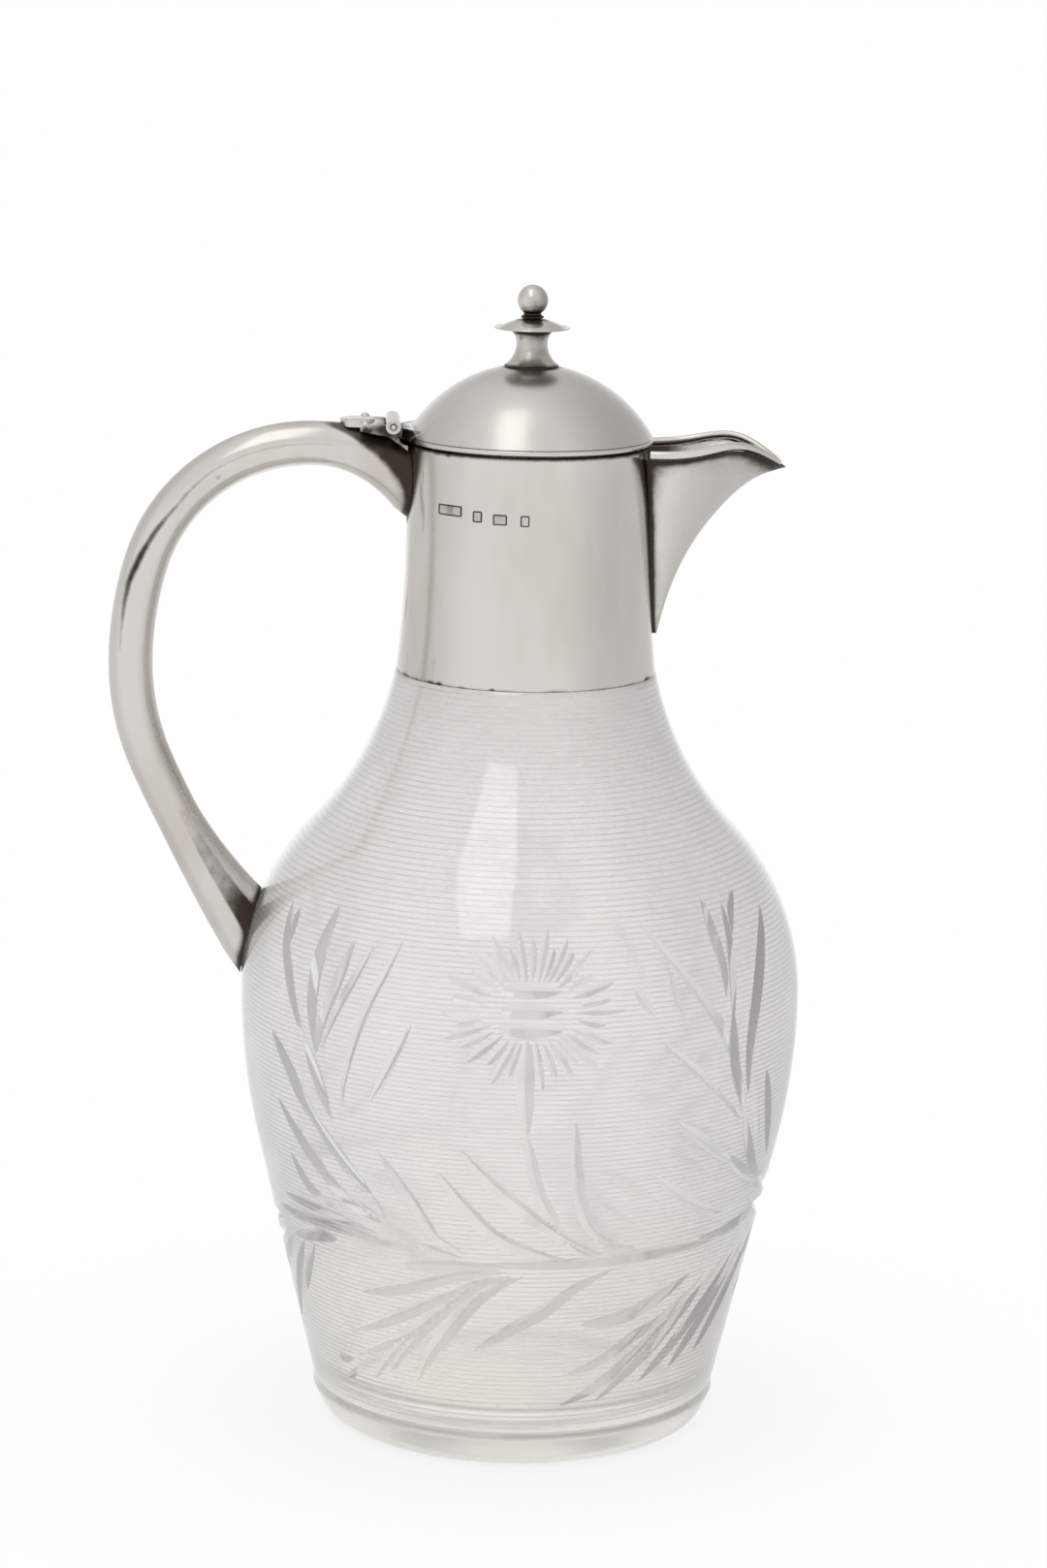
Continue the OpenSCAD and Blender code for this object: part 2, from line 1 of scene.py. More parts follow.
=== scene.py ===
"""Claret jug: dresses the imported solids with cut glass, satin silver and a plain studio."""
import math

import bpy
import numpy as np
from bpy.props import FloatProperty, FloatVectorProperty, IntProperty, PointerProperty
from mathutils import Matrix, Vector, geometry, kdtree


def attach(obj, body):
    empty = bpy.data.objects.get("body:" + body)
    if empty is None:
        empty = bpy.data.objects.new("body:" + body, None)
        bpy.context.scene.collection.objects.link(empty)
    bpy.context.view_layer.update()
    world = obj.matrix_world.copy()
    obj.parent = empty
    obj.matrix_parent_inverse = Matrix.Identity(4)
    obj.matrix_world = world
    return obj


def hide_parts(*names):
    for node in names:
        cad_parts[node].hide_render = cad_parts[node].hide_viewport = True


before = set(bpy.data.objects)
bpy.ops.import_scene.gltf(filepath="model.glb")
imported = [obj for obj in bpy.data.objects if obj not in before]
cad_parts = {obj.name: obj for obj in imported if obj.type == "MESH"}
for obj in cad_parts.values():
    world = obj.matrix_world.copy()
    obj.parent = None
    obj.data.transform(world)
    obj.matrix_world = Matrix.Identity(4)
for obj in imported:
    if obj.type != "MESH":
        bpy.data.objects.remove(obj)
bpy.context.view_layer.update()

bl_info = {
    "name": "Claret jug",
    "version": (1, 0, 0),
    "blender": (4, 5, 0),
    "location": "3D view > Sidebar > Claret jug",
    "description": "Builds the cut glass, the silver mount and the studio of a claret jug",
    "category": "Object",
}

MM = 0.001
# A radius below this many millimetres is taken as a point on the axis
ON_AXIS = 1e-6

# ---- Sizes shared with the solids, in millimetres ----
BASE_R, BAND_H, GROOVE = 47.3, 9.0, 0.9
FOOT_R, FOOT_ROUND = 40.0, 6.0
BELLY_R, BELLY_Z, LOWER_R = 65.2, 103.0, 149.0
SHOULDER_R, SHOULDER_SLOPE = 56.5, 44.0
WALL, FLOOR, MOUTH_Z = 4.6, 11.0, 200.0
CUT_FROM, CUT_TO = 12.0, 176.0
COLLAR_R, COLLAR_FOOT_R, COLLAR_Z = 28.0, 29.9, 178.3
FLARE_Z, COLLAR_TOP, COLLAR_T = 212.0, 231.0, 1.2
NECK_IN = 2.58
SPOUT_Z, SPOUT_REACH, SPOUT_HALF, SPOUT_T = 186.0, 60.0, 11.3, 1.1
DROOP, RIM_RISE, LIP_W, LIP_H = 2.8, 2.2, 1.6, 1.9
SEAM_TOP = COLLAR_TOP - LIP_H - 0.1
NOSE_TOP = SEAM_TOP - DROOP
NOSE_FOOT = 0.6
ROOT_IN = 6.0
HINGE_X, HINGE_Z, HINGE_W = 31.4, 235.2, 16.0
KNUCKLE_R, KNUCKLE_GAP, PIN_R = 1.75, 0.15, 0.85
KNUCKLE_L = (HINGE_W - 4 * KNUCKLE_GAP) / 5
DOME_R, DOME_T, LID_R = 32.4, 1.2, 28.1
LID_UNDER, DOME_BASE = 231.3, 232.8
DOME_C = DOME_BASE - math.sqrt(DOME_R ** 2 - LID_R ** 2)


# ---- Outlines ----
def arc(centre, r, start, end, n):
    """Points of an arc in degrees, as rows of radius and height."""
    a = np.radians(np.linspace(start, end, n + 1))
    return np.column_stack([centre[0] + r * np.cos(a), centre[1] + r * np.sin(a)])


def glass_side(d, n=24):
    """The outline of the glass between its base band and the collar, moved inwards by d."""
    low = np.array([BELLY_R - LOWER_R, BELLY_Z])
    to_band = np.array([BASE_R, BAND_H]) - low
    taper = math.degrees(math.atan2(to_band[1], to_band[0]) + math.acos(LOWER_R / np.hypot(*to_band)))
    shoulder = np.array([BELLY_R - SHOULDER_R, BELLY_Z])
    turn = math.radians(SHOULDER_SLOPE)
    out = np.array([math.cos(turn), math.sin(turn)])
    end = shoulder + SHOULDER_R * out
    foot = np.array([COLLAR_FOOT_R + 0.3, COLLAR_Z])
    chord = end - foot
    half = SHOULDER_SLOPE - math.degrees(math.atan2(chord[0], -chord[1]))
    neck_r = np.hypot(*chord) / (2 * math.sin(math.radians(half)))
    neck = end + neck_r * out
    return np.vstack([
        arc(low, LOWER_R - d, taper, 0, n),
        arc(shoulder, SHOULDER_R - d, 2, SHOULDER_SLOPE, n),
        arc(neck, neck_r + d, 180 + SHOULDER_SLOPE - 2, 180 + SHOULDER_SLOPE - 2 * half, n)]), taper


SIDE = np.vstack([[[BASE_R, BAND_H + GROOVE]], glass_side(0, 200)[0]])


def glass_r(z):
    """Radius of the glass's outer face at height z."""
    return np.interp(z, SIDE[:, 1], SIDE[:, 0])


def glass_slope(z):
    """Change of that radius with height."""
    return (glass_r(z + 0.4) - glass_r(z - 0.4)) / 0.8


def collar_out(z):
    """Outer radius of the collar at height z."""
    z = np.asarray(z, float)
    flare = (FLARE_Z - COLLAR_Z) ** 2 / (2 * (COLLAR_FOOT_R - COLLAR_R))
    return COLLAR_R + np.maximum(0, FLARE_Z - z) ** 2 / (2 * flare)


def seam_half(s):
    """Half width of the spout at its seam, for the height share s."""
    return SPOUT_HALF * np.power(np.clip(s, 0, 1), 1.3)


def spout_wall(u, s, t):
    """A point of the spout's sheet; u runs from seam to seam, s from foot to rim, t inwards."""
    u, s = np.broadcast_arrays(np.asarray(u, float), np.asarray(s, float))
    z0 = SPOUT_Z + (SEAM_TOP - SPOUT_Z) * s
    z1 = SPOUT_Z + (NOSE_TOP - SPOUT_Z) * s
    half = np.maximum(seam_half(s) - t, 0.15)
    seam_x = np.sqrt((collar_out(z0) - 0.6) ** 2 - half ** 2)
    nose_out = SPOUT_REACH - collar_out(SPOUT_Z) - NOSE_FOOT
    throat = 0.42 * s + 0.42 * s ** 3 + 0.16 * s ** 24
    nose_x = np.maximum(collar_out(z0) + nose_out * throat + NOSE_FOOT - t * (1 + 2.4 * s),
                        collar_out(z0) + 0.3)
    x = np.clip(np.sin(np.pi / 2 * (1 - np.abs(u))), 0, 1)
    low = np.power(1 - x * x, 0.55)
    rim = (1 + 0.5 * np.sqrt(x) * (1 - x)) * np.power(np.clip(1 - x ** 3.4, 0, 1), 0.65)
    bulge = low + (rim - low) * s * s
    lift = RIM_RISE * np.sin(np.pi * np.power(x, 1.73)) ** 2 * s ** 4
    z = z0 + (z1 - z0) * np.power(x, 2.2 + 5.8 * s ** 4) + lift
    return np.stack([seam_x + (nose_x - seam_x) * x, np.sign(u) * half * bulge, z], axis=-1)


def turn_arc(p, r, start, end, n):
    """Points of one turn of the handle's curve with their slopes in degrees."""
    a = np.linspace(start, end, n + 1)
    k, k0 = np.radians(a), math.radians(start)
    return np.column_stack([p[0] - r * (np.sin(k) - math.sin(k0)),
                            p[1] - r * (math.cos(k0) - np.cos(k)), a])


def handle_spine():
    """The centre line of the handle: rows of x, z, slope and distance from its root inside the collar."""
    reach, top_z, back_z, bend_a, foot_r, fall = 91.0, 230.3, 179.0, 73.0, 80.0, 6.9
    low_a, touch_a, end_a, low_r = 114.0, 124.5, 126.5, 57.6
    sin, cos = (lambda d: math.sin(math.radians(d))), (lambda d: math.cos(math.radians(d)))
    foot = (-reach + foot_r * (1 - sin(bend_a)), back_z + foot_r * cos(bend_a))
    bend_r = (top_z - foot[1]) / (1 - cos(bend_a))
    top = (foot[0] + bend_r * sin(bend_a), top_z)
    run = top[0] + COLLAR_R - 2
    fall_r = (run * run + fall * fall) / (2 * fall)
    fall_a = math.degrees(math.asin(-run / fall_r) + ROOT_IN / fall_r)
    start = (top[0] + fall_r * sin(fall_a), top_z - fall_r * (1 - cos(fall_a)))
    low = (-reach + low_r * (1 - sin(low_a)), back_z + low_r * cos(low_a))
    tail_r = (BELLY_R - 1.9 + low[0]) / (sin(touch_a) - sin(low_a))
    line = np.vstack([
        turn_arc(start, fall_r, -fall_a, 0, 40), turn_arc(top, bend_r, 0, bend_a, 90)[1:],
        turn_arc(foot, foot_r, bend_a, 90, 30)[1:], turn_arc((-reach, back_z), low_r, 90, low_a, 30)[1:],
        turn_arc(low, tail_r, low_a, end_a, 60)[1:]])
    step = np.hypot(np.diff(line[:, 0]), np.diff(line[:, 1]))
    dist = np.concatenate([[0], np.cumsum(step)])
    trimmed = tail_r * math.radians(end_a - touch_a)
    return np.column_stack([line, dist]), trimmed


def handle_grid(t, nu, nv):
    """Rings of the handle's tube, t inside its face, trimmed to the collar and to the glass."""
    spine, trimmed = handle_spine()
    x, z, slope, dist = spine.T
    total = dist[-1]
    tube_r, top_r, under_r, end_r, inner_r = 5.1, 7.7, 9.2, 7.0, 10.0

    def point(d, a):
        up_share = np.power(1 - np.clip((d - ROOT_IN) / 22.0, 0, 1), 1.6)
        down = np.power(1 - np.minimum(np.maximum(total - trimmed - d, 0) / 34.0, 1), 1.5)
        half = tube_r + (top_r - tube_r) * up_share + (end_r - tube_r) * down
        across = tube_r + (top_r - tube_r) * up_share + 0.5 * (end_r - tube_r) * down
        k = np.radians(np.interp(d, dist, slope))
        more = (under_r - top_r) * up_share + (inner_r - end_r) * down
        up = (half - t) * np.cos(a) + more * np.minimum(np.cos(a), 0)
        return np.stack([np.interp(d, dist, x) - up * np.sin(k), (across - t) * np.sin(a),
                         np.interp(d, dist, z) + up * np.cos(k)], axis=-1)

    around = np.linspace(0, 2 * np.pi, nu, endpoint=False)
    many = np.linspace(0, total, 2400)
    start, stop = [], []
    for angle in around:
        p = point(many, angle)
        r = np.hypot(p[:, 0], p[:, 1])
        start.append(many[np.flatnonzero(r > COLLAR_R - 0.02)[0]])
        hit = np.flatnonzero((r < glass_r(np.clip(p[:, 2], CUT_FROM, CUT_TO)) + 0.25) & (many > total * 0.6))
        stop.append(many[hit[0]] if len(hit) else total)
    start, stop = np.array(start), np.array(stop)
    v = np.linspace(0, 1, nv)[:, None]
    return point(start + (stop - start) * v, np.broadcast_to(around, (nv, nu))).reshape(-1, 3)


# ---- Mesh helpers ----
def link(obj):
    """Puts an object into the scene."""
    bpy.context.scene.collection.objects.link(obj)
    return obj


def set_mask(mesh, name, domain, values):
    """Keeps a mask from 0 to 1 on the mesh."""
    layer = mesh.attributes.new(name, "FLOAT", domain)
    layer.data.foreach_set("value", np.clip(values, 0, 1).astype(np.float32))


def points_of(mesh):
    """The mesh's points in millimetres."""
    co = np.empty(len(mesh.vertices) * 3)
    mesh.vertices.foreach_get("co", co)
    return co.reshape(-1, 3) / MM


def new_object(name, verts, faces, mats, soil=None):
    """A mesh object from millimetres, with its materials and the soil mask of its points."""
    mesh = bpy.data.meshes.new(name)
    mesh.from_pydata((np.asarray(verts, float) * MM).tolist(), [], faces)
    mesh.update()
    for m in mats:
        mesh.materials.append(m)
    mesh.polygons.foreach_set("use_smooth", [True] * len(mesh.polygons))
    if soil is not None:
        set_mask(mesh, "soil", "POINT", soil)
    return link(bpy.data.objects.new(name, mesh))


def sharpen(obj, degrees):
    """Keeps the edges that turn by more than this crisp."""
    obj.data.set_sharp_from_angle(angle=math.radians(degrees))


def grid_faces(nu, nv, closed, first=0, flip=False):
    """Faces of nv rows of nu points; a closed grid joins its last column to its first."""
    faces = []
    for j in range(nv - 1):
        for i in range(nu if closed else nu - 1):
            a, b = first + j * nu + i, first + j * nu + (i + 1) % nu
            face = (a, b, b + nu, a + nu)
            faces.append(face[::-1] if flip else face)
    return faces


def sheet_faces(nu, nv, closed):
    """Faces of a sheet with an outer and an inner grid, joined all round its open edges."""
    n = nu * nv
    faces = grid_faces(nu, nv, closed) + grid_faces(nu, nv, closed, n, True)
    for i in range(nu if closed else nu - 1):
        k = (i + 1) % nu
        faces.append((i, i + n, k + n, k))
        top = (nv - 1) * nu
        faces.append((top + k, top + k + n, top + i + n, top + i))
    if not closed:
        for j in range(nv - 1):
            a, b = j * nu, (j + 1) * nu
            faces.append((b, b + n, a + n, a))
            faces.append((a + nu - 1, a + nu - 1 + n, b + nu - 1 + n, b + nu - 1))
    return faces


def ring_faces(low, high, n):
    """Faces between two rings, each given by its first point and its count, which is n or 1."""
    (a, many_a), (b, many_b) = low, high
    faces = []
    for i in range(n):
        k = (i + 1) % n
        if many_a == 1:
            faces.append((a, b + k, b + i))
        elif many_b == 1:
            faces.append((a + i, a + k, b))
        else:
            faces.append((a + i, a + k, b + k, b + i))
    return faces


def turned(name, outline, mat, n, soil, crisp=40):
    """A turned piece from a closed outline of radius and height, run counter-clockwise."""
    a = np.linspace(0, 2 * np.pi, n, endpoint=False)
    verts, rings, faces = [], [], []
    for r, z in np.asarray(outline, float):
        rings.append((len(verts), 1 if r < ON_AXIS else n))
        if r < ON_AXIS:
            verts.append((0.0, 0.0, z))
        else:
            verts.extend(zip(r * np.cos(a), r * np.sin(a), np.full(n, z)))
    for low, high in zip(rings, rings[1:] + rings[:1]):
        if low[1] > 1 or high[1] > 1:
            faces.extend(ring_faces(low, high, n))
    obj = new_object(name, verts, faces, [mat], soil(np.array(verts)))
    sharpen(obj, crisp)
    return obj


def bell(d, width):
    """A soft band of this width round zero."""
    return np.exp(-(np.asarray(d, float) / width) ** 2)


# ---- Cut pattern ----
# Width in millimetres, then the cut's line from its tip: degrees round the jug and height.
# The pattern covers half the jug, and the other half is the same.
LEAVES = [
    (3.4, ((-0.9, 107), (-1.0, 96), (-0.3, 84.5))),
    (2.6, ((-0.5, 85), (2, 72), (5, 65), (10, 57), (16, 54))),
    (2.7, ((9.2, 88), (10, 76), (12.5, 65), (17, 58.7), (27, 54.5))),
    (3.0, ((-14, 81), (-8.5, 73.7), (0.6, 65), (10, 58), (18.5, 54))),
    (3.0, ((-19, 75), (-12.5, 65.6), (-5.4, 58.7), (5.4, 54.4), (12.5, 53))),
    (2.6, ((-32, 78), (-28, 71.5), (-23.3, 63.7), (-19.7, 58), (-12.5, 54.5))),
    (2.0, ((-40, 64.5), (-36, 62), (-33, 60))), (2.2, ((-25, 56.4), (-20, 54.6), (-14, 53.6))),
    (2.6, ((50, 53), (36, 53.4), (22, 53.2), (8, 52.8), (-12, 52.6))),
    (2.8, ((-29, 50.5), (-16, 51.3), (-4, 52))), (2.6, ((-42, 41), (-30.5, 43.8), (-16, 48.8), (-4, 51))),
    (2.6, ((-47, 30), (-33, 36), (-22, 41.9), (-11.4, 47.5), (-3, 50))),
    (2.4, ((-47, 24), (-31.6, 31.3), (-21, 38.8), (-11.4, 46.3), (-3, 49.4))),
    (2.4, ((-42, 19), (-33, 28.8), (-24.5, 35), (-16, 42.5), (-8, 48))),
    (2.2, ((-35.8, 22), (-31.6, 27.5), (-25.7, 33.8), (-17.3, 41.3))),
    (3.0, ((-28.3, 20.6), (-24.5, 27.5), (-18.5, 35), (-11.4, 43), (-5.4, 47.5), (0, 50))),
    (2.8, ((-12.3, 30.3), (-4.2, 35.6), (4.2, 40.6), (12.5, 46.9), (21, 51))),
    (3.2, ((13.7, 37), (24.5, 38), (34, 41.3), (44, 46))),
    (2.6, ((11.3, 24.4), (19.7, 27), (29, 32.5), (36.4, 35.6), (49.5, 44.4))),
    (2.8, ((9.9, 16.3), (19.7, 20.6), (29, 26.9), (38.8, 33.8), (54, 43.5))),
    (2.6, ((20.3, 16.9), (26.8, 21.9), (34, 27.5), (43.6, 36.3), (57, 47))),
    (2.8, ((32.8, 20), (38.8, 25), (46, 31.3), (56, 41), (62, 47.5))),
    (3.0, ((43, 21.9), (49.5, 29), (57, 37.5), (67, 48))), (3.4, ((53, 24), (59, 31), (66, 39.5), (76, 50))),
    (2.0, ((-55.7, 21.5), (-52, 22), (-48.5, 23))), (1.8, ((-54, 16), (-51, 18), (-48, 20.5))),
    # right spray
    (2.6, ((43.4, 134), (43.4, 127), (44, 119), (43.9, 111.5))),
    (2.2, ((49.5, 132), (47.4, 122), (45.9, 113), (45.4, 106))),
    (2.8, ((45.4, 109), (45.6, 102), (47, 94), (51.5, 83))), (1.8, ((56, 134), (52, 130.5), (49, 125))),
    (3.4, ((65, 129), (58, 119.5), (53, 108.5), (51, 98), (51.8, 88))),
    (2.0, ((24.5, 131), (29, 125), (36, 115), (42, 105), (48, 93))),
    (1.9, ((40.3, 110), (42, 106), (44, 101.5))), (1.6, ((29.8, 121), (30.6, 115), (32, 109))),
    (1.8, ((27, 105), (36.4, 96), (43.6, 88.8), (50.5, 82))),
    (2.4, ((31.2, 85.8), (38.8, 80), (46, 74.5), (52, 71))),
    (2.4, ((28, 72.8), (36.4, 66), (43.6, 61.8), (51, 59.6))),
    (2.0, ((21, 117.5), (23.5, 114), (25.6, 110.6))), (3.0, ((58.5, 92.5), (61, 85), (64, 77), (68, 69))),
    (2.8, ((50.8, 85), (54, 77.5), (58.5, 70.5), (64, 65), (71, 61.5))),
    (2.4, ((46, 75), (52, 71), (58, 67), (66, 63))), (3.6, ((63, 63.5), (74, 61.2), (82, 58.8), (91, 54.5))),
    (3.6, ((67, 57.4), (76, 54.6), (84, 52.4), (94, 49.5))),
    (2.6, ((44, 54.5), (56, 54.6), (68, 56), (80, 57.5))),
    # left spray
    (2.6, ((-64, 129), (-61, 121), (-57.5, 115), (-53.5, 107), (-50.5, 100.5))),
    (2.0, ((-60, 128.5), (-59.8, 124), (-59.4, 119.5))),
    (3.2, ((-47.3, 131), (-48.5, 119), (-48.3, 109), (-46.9, 98))),
    (2.6, ((-39.8, 125), (-42.3, 115), (-45, 106.5), (-46.8, 98))),
    (1.8, ((-34.6, 125), (-38, 117), (-42, 108), (-45.5, 99))),
    (2.0, ((-28, 127), (-31, 119), (-35, 109), (-39, 95), (-40.4, 86))),
    (1.8, ((-24, 109), (-29, 98), (-33.5, 89))), (3.0, ((-50, 100.5), (-47.5, 94.5), (-43, 83))),
    (3.2, ((-61.8, 100), (-56, 93), (-51, 85.5), (-44, 77.5))),
    (3.0, ((-50.5, 85), (-44, 77), (-38, 70), (-31.2, 60.8))),
    (3.0, ((-61, 84), (-56.5, 79), (-52, 74), (-46, 67.8), (-40, 62.8), (-33, 60))),
    (2.6, ((-58.8, 71.5), (-55.5, 66), (-51.5, 63), (-46, 61.2))),
    (2.2, ((-66, 59.5), (-54, 59.4), (-44, 58.6), (-34, 57))),
    (1.9, ((-45, 56.8), (-39, 56.1), (-34, 55.6))),
    (2.4, ((-72, 55), (-62, 55.4), (-50, 56.2), (-38, 55.6), (-24, 54.4))),
    (3.2, ((-47, 53), (-54, 52.6), (-60, 51), (-66, 49.5))),
    (2.2, ((-56.5, 49.5), (-61, 43.5), (-66.5, 35))), (3.2, ((-80, 25), (-73, 34), (-67, 42), (-61, 49.5))),
    (3.2, ((-99, 24), (-88, 33), (-78, 41), (-67, 49))),
    (3.2, ((-108, 33), (-96, 39), (-84, 44.5), (-70, 50))),
    (3.0, ((-112, 43), (-99, 46.5), (-86, 49.4), (-72, 52))),
]


def flower_cuts():
    """The flower's petals all round its centre, and the three short cuts of the centre."""
    r = float(glass_r(113))
    cuts = [(3.0, ((-6.4, z), (0, z), (6.4, z))) for z in (117.6, 113.2, 109)]
    for k in range(36):
        a = math.radians(10 * k + 2.2 * math.sin(5.3 * k))
        long = (1.0, 0.86, 0.95, 0.8)[k % 4]
        reach = 21.6 * 18.2 / math.hypot(18.2 * math.cos(a), 21.6 * math.sin(a))
        start = 10.5 * 6.6 / math.hypot(6.6 * math.cos(a), 10.5 * math.sin(a))
        line = [(math.degrees(q * math.cos(a) / r), 113 + q * math.sin(a))
                for q in (reach * long, (reach * long + start) / 2, start * (0.92 + 0.1 * (k % 2)))]
        cuts.append((1.6, tuple(line)))
    return cuts


def cut_line(points, step=1.5):
    """A smooth run through the points of a cut, as radians and height, evenly spaced."""
    p = np.array(points, float)
    p[:, 0] = np.radians(p[:, 0])
    q = np.vstack([2 * p[0] - p[1], p, 2 * p[-1] - p[-2]])
    out = []
    for i in range(1, len(q) - 2):
        t = np.linspace(0, 1, 16, endpoint=False)[:, None]
        a, b, c, d = q[i - 1], q[i], q[i + 1], q[i + 2]
        square, cube = 2 * a - 5 * b + 4 * c - d, 3 * b - a - 3 * c + d
        out.append(0.5 * (2 * b + (c - a) * t + square * t ** 2 + cube * t ** 3))
    run = np.vstack(out + [q[-2:-1]])
    lengths = np.hypot(np.diff(run[:, 0]) * glass_r(run[1:, 1]), np.diff(run[:, 1]))
    dist = np.concatenate([[0], np.cumsum(lengths)])
    at = np.linspace(0, dist[-1], max(6, int(dist[-1] / step)) + 1)
    return np.column_stack([np.interp(at, dist, run[:, 0]), np.interp(at, dist, run[:, 1])])


class Cuts:
    """All cuts of the pattern, and the depth that they leave at any place of the glass."""

    def __init__(self, slope):
        self.slope = slope
        self.lines = []
        for width, points in LEAVES + flower_cuts():
            line = cut_line(points)
            t = np.linspace(0, 1, len(line))
            half = width * 0.62 * np.power(np.clip(np.sin(np.pi * np.power(t, 0.85)), 0, 1), 0.7)
            for shift in (-1, 0, 1):
                self.lines.append((line + [shift * np.pi, 0], half))

    def at(self, phi, z):
        """Depth, the cut that makes it, and its sideways direction, at these places."""
        depth, which = np.zeros(len(phi)), np.full(len(phi), -1)
        aside = np.zeros((len(phi), 2))
        r, stretch = glass_r(z), np.sqrt(1 + glass_slope(z) ** 2)
        for n, (line, half) in enumerate(self.lines):
            reach = half.max()
            pad = reach / 40.0
            near = np.flatnonzero((phi > line[:, 0].min() - pad) & (phi < line[:, 0].max() + pad)
                                  & (z > line[:, 1].min() - reach) & (z < line[:, 1].max() + reach))
            if not len(near):
                continue
            px = (line[None, :, 0] - phi[near, None]) * r[near, None]
            pz = (line[None, :, 1] - z[near, None]) * stretch[near, None]
            ax, az, bx, bz = px[:, :-1], pz[:, :-1], px[:, 1:], pz[:, 1:]
            dx, dz = bx - ax, bz - az
            t = np.clip(-(ax * dx + az * dz) / (dx * dx + dz * dz), 0, 1)
            qx, qz = ax + t * dx, az + t * dz
            away = np.hypot(qx, qz)
            k = np.argmin(away, axis=1)
            rows = np.arange(len(near))
            h = half[k] + (half[k + 1] - half[k]) * t[rows, k]
            d = self.slope * (h - away[rows, k])
            deeper = d > depth[near]
            hit = near[deeper]
            depth[hit] = d[deeper]
            which[hit] = n
            length = np.hypot(dx[rows, k], dz[rows, k])
            side = np.sign(dx[rows, k] * qz[rows, k] - dz[rows, k] * qx[rows, k])
            aside[hit, 0] = (side * dz[rows, k] / length)[deeper]
            aside[hit, 1] = (-side * dx[rows, k] / length)[deeper]
        return depth, which, aside


# ---- Settings ----
class ClaretGlass(bpy.types.PropertyGroup):
    """Sizes and colour of the glass"""
    thread_pitch: FloatProperty(name="Thread pitch", description="Height from one thread to the next",
                                default=0.00115, min=0.0005, max=0.003, precision=5, unit="LENGTH")
    thread_depth: FloatProperty(name="Thread depth", description="Depth of the engraved threads",
                                default=0.0001, min=0.0, max=0.0004, precision=5, unit="LENGTH")
    cut_slope: FloatProperty(name="Cut slope", description="Depth of a cut over half its width",
                             default=0.62, min=0.2, max=1.0)
    columns: IntProperty(name="Columns", description="Columns of the glass's faces round the jug",
                         default=240, min=120, max=320)
    colour: FloatVectorProperty(name="Colour", description="Tint of the glass", subtype="COLOR", size=3,
                                default=(0.995, 0.985, 0.965), min=0.0, max=1.0)
    # painted shade: the darker tint at the bottom of the threads stands for light that the engraved lines scatter
    # away
    thread_shade: FloatVectorProperty(name="Thread colour", description="Tint at the bottom of the threads",
                                subtype="COLOR", size=3, default=(0.80, 0.77, 0.74), min=0.0, max=1.0)
    clearness: FloatProperty(name="Clearness", description="Share of light that goes through the outer face",
                             default=0.66, min=0.0, max=1.0, subtype="FACTOR")


class ClaretSilver(bpy.types.PropertyGroup):
    """Colours and finish of the silver"""
    colour: FloatVectorProperty(name="Colour", description="Clean silver", subtype="COLOR", size=3,
                                default=(0.70, 0.672, 0.635), min=0.0, max=1.0)
    # the tarnish colour also paints the shade and shadows that the silver's mask carries
    tarnish: FloatVectorProperty(name="Tarnish", description="Colour of old tarnish in the crevices",
                                 subtype="COLOR", size=3, default=(0.055, 0.042, 0.032), min=0.0, max=1.0)
    roughness: FloatProperty(name="Roughness", description="Roughness of the satin finish",
                             default=0.2, min=0.05, max=0.8, subtype="FACTOR")
    lip_width: FloatProperty(name="Lip width", description="Width of the moulding on the spout's rim",
                             default=LIP_W * MM, min=0.0008, max=0.003, precision=4, unit="LENGTH")
    lip_height: FloatProperty(name="Lip height", description="Height of the moulding on the spout's rim",
                              default=LIP_H * MM, min=0.0008, max=0.003, precision=4, unit="LENGTH")


class ClaretStudio(bpy.types.PropertyGroup):
    """Light and background"""
    floor: FloatVectorProperty(name="Floor", description="Colour of the floor", subtype="COLOR", size=3,
                               default=(0.92, 0.92, 0.92), min=0.0, max=1.0)
    key: FloatProperty(name="Window light", description="Power of the tall light at the front left",
                       default=1.12, min=0.0, max=60.0, unit="POWER")
    sky: FloatProperty(name="Room light", description="Brightness of the room on matt surfaces",
                       default=0.96, min=0.0, max=2.0)


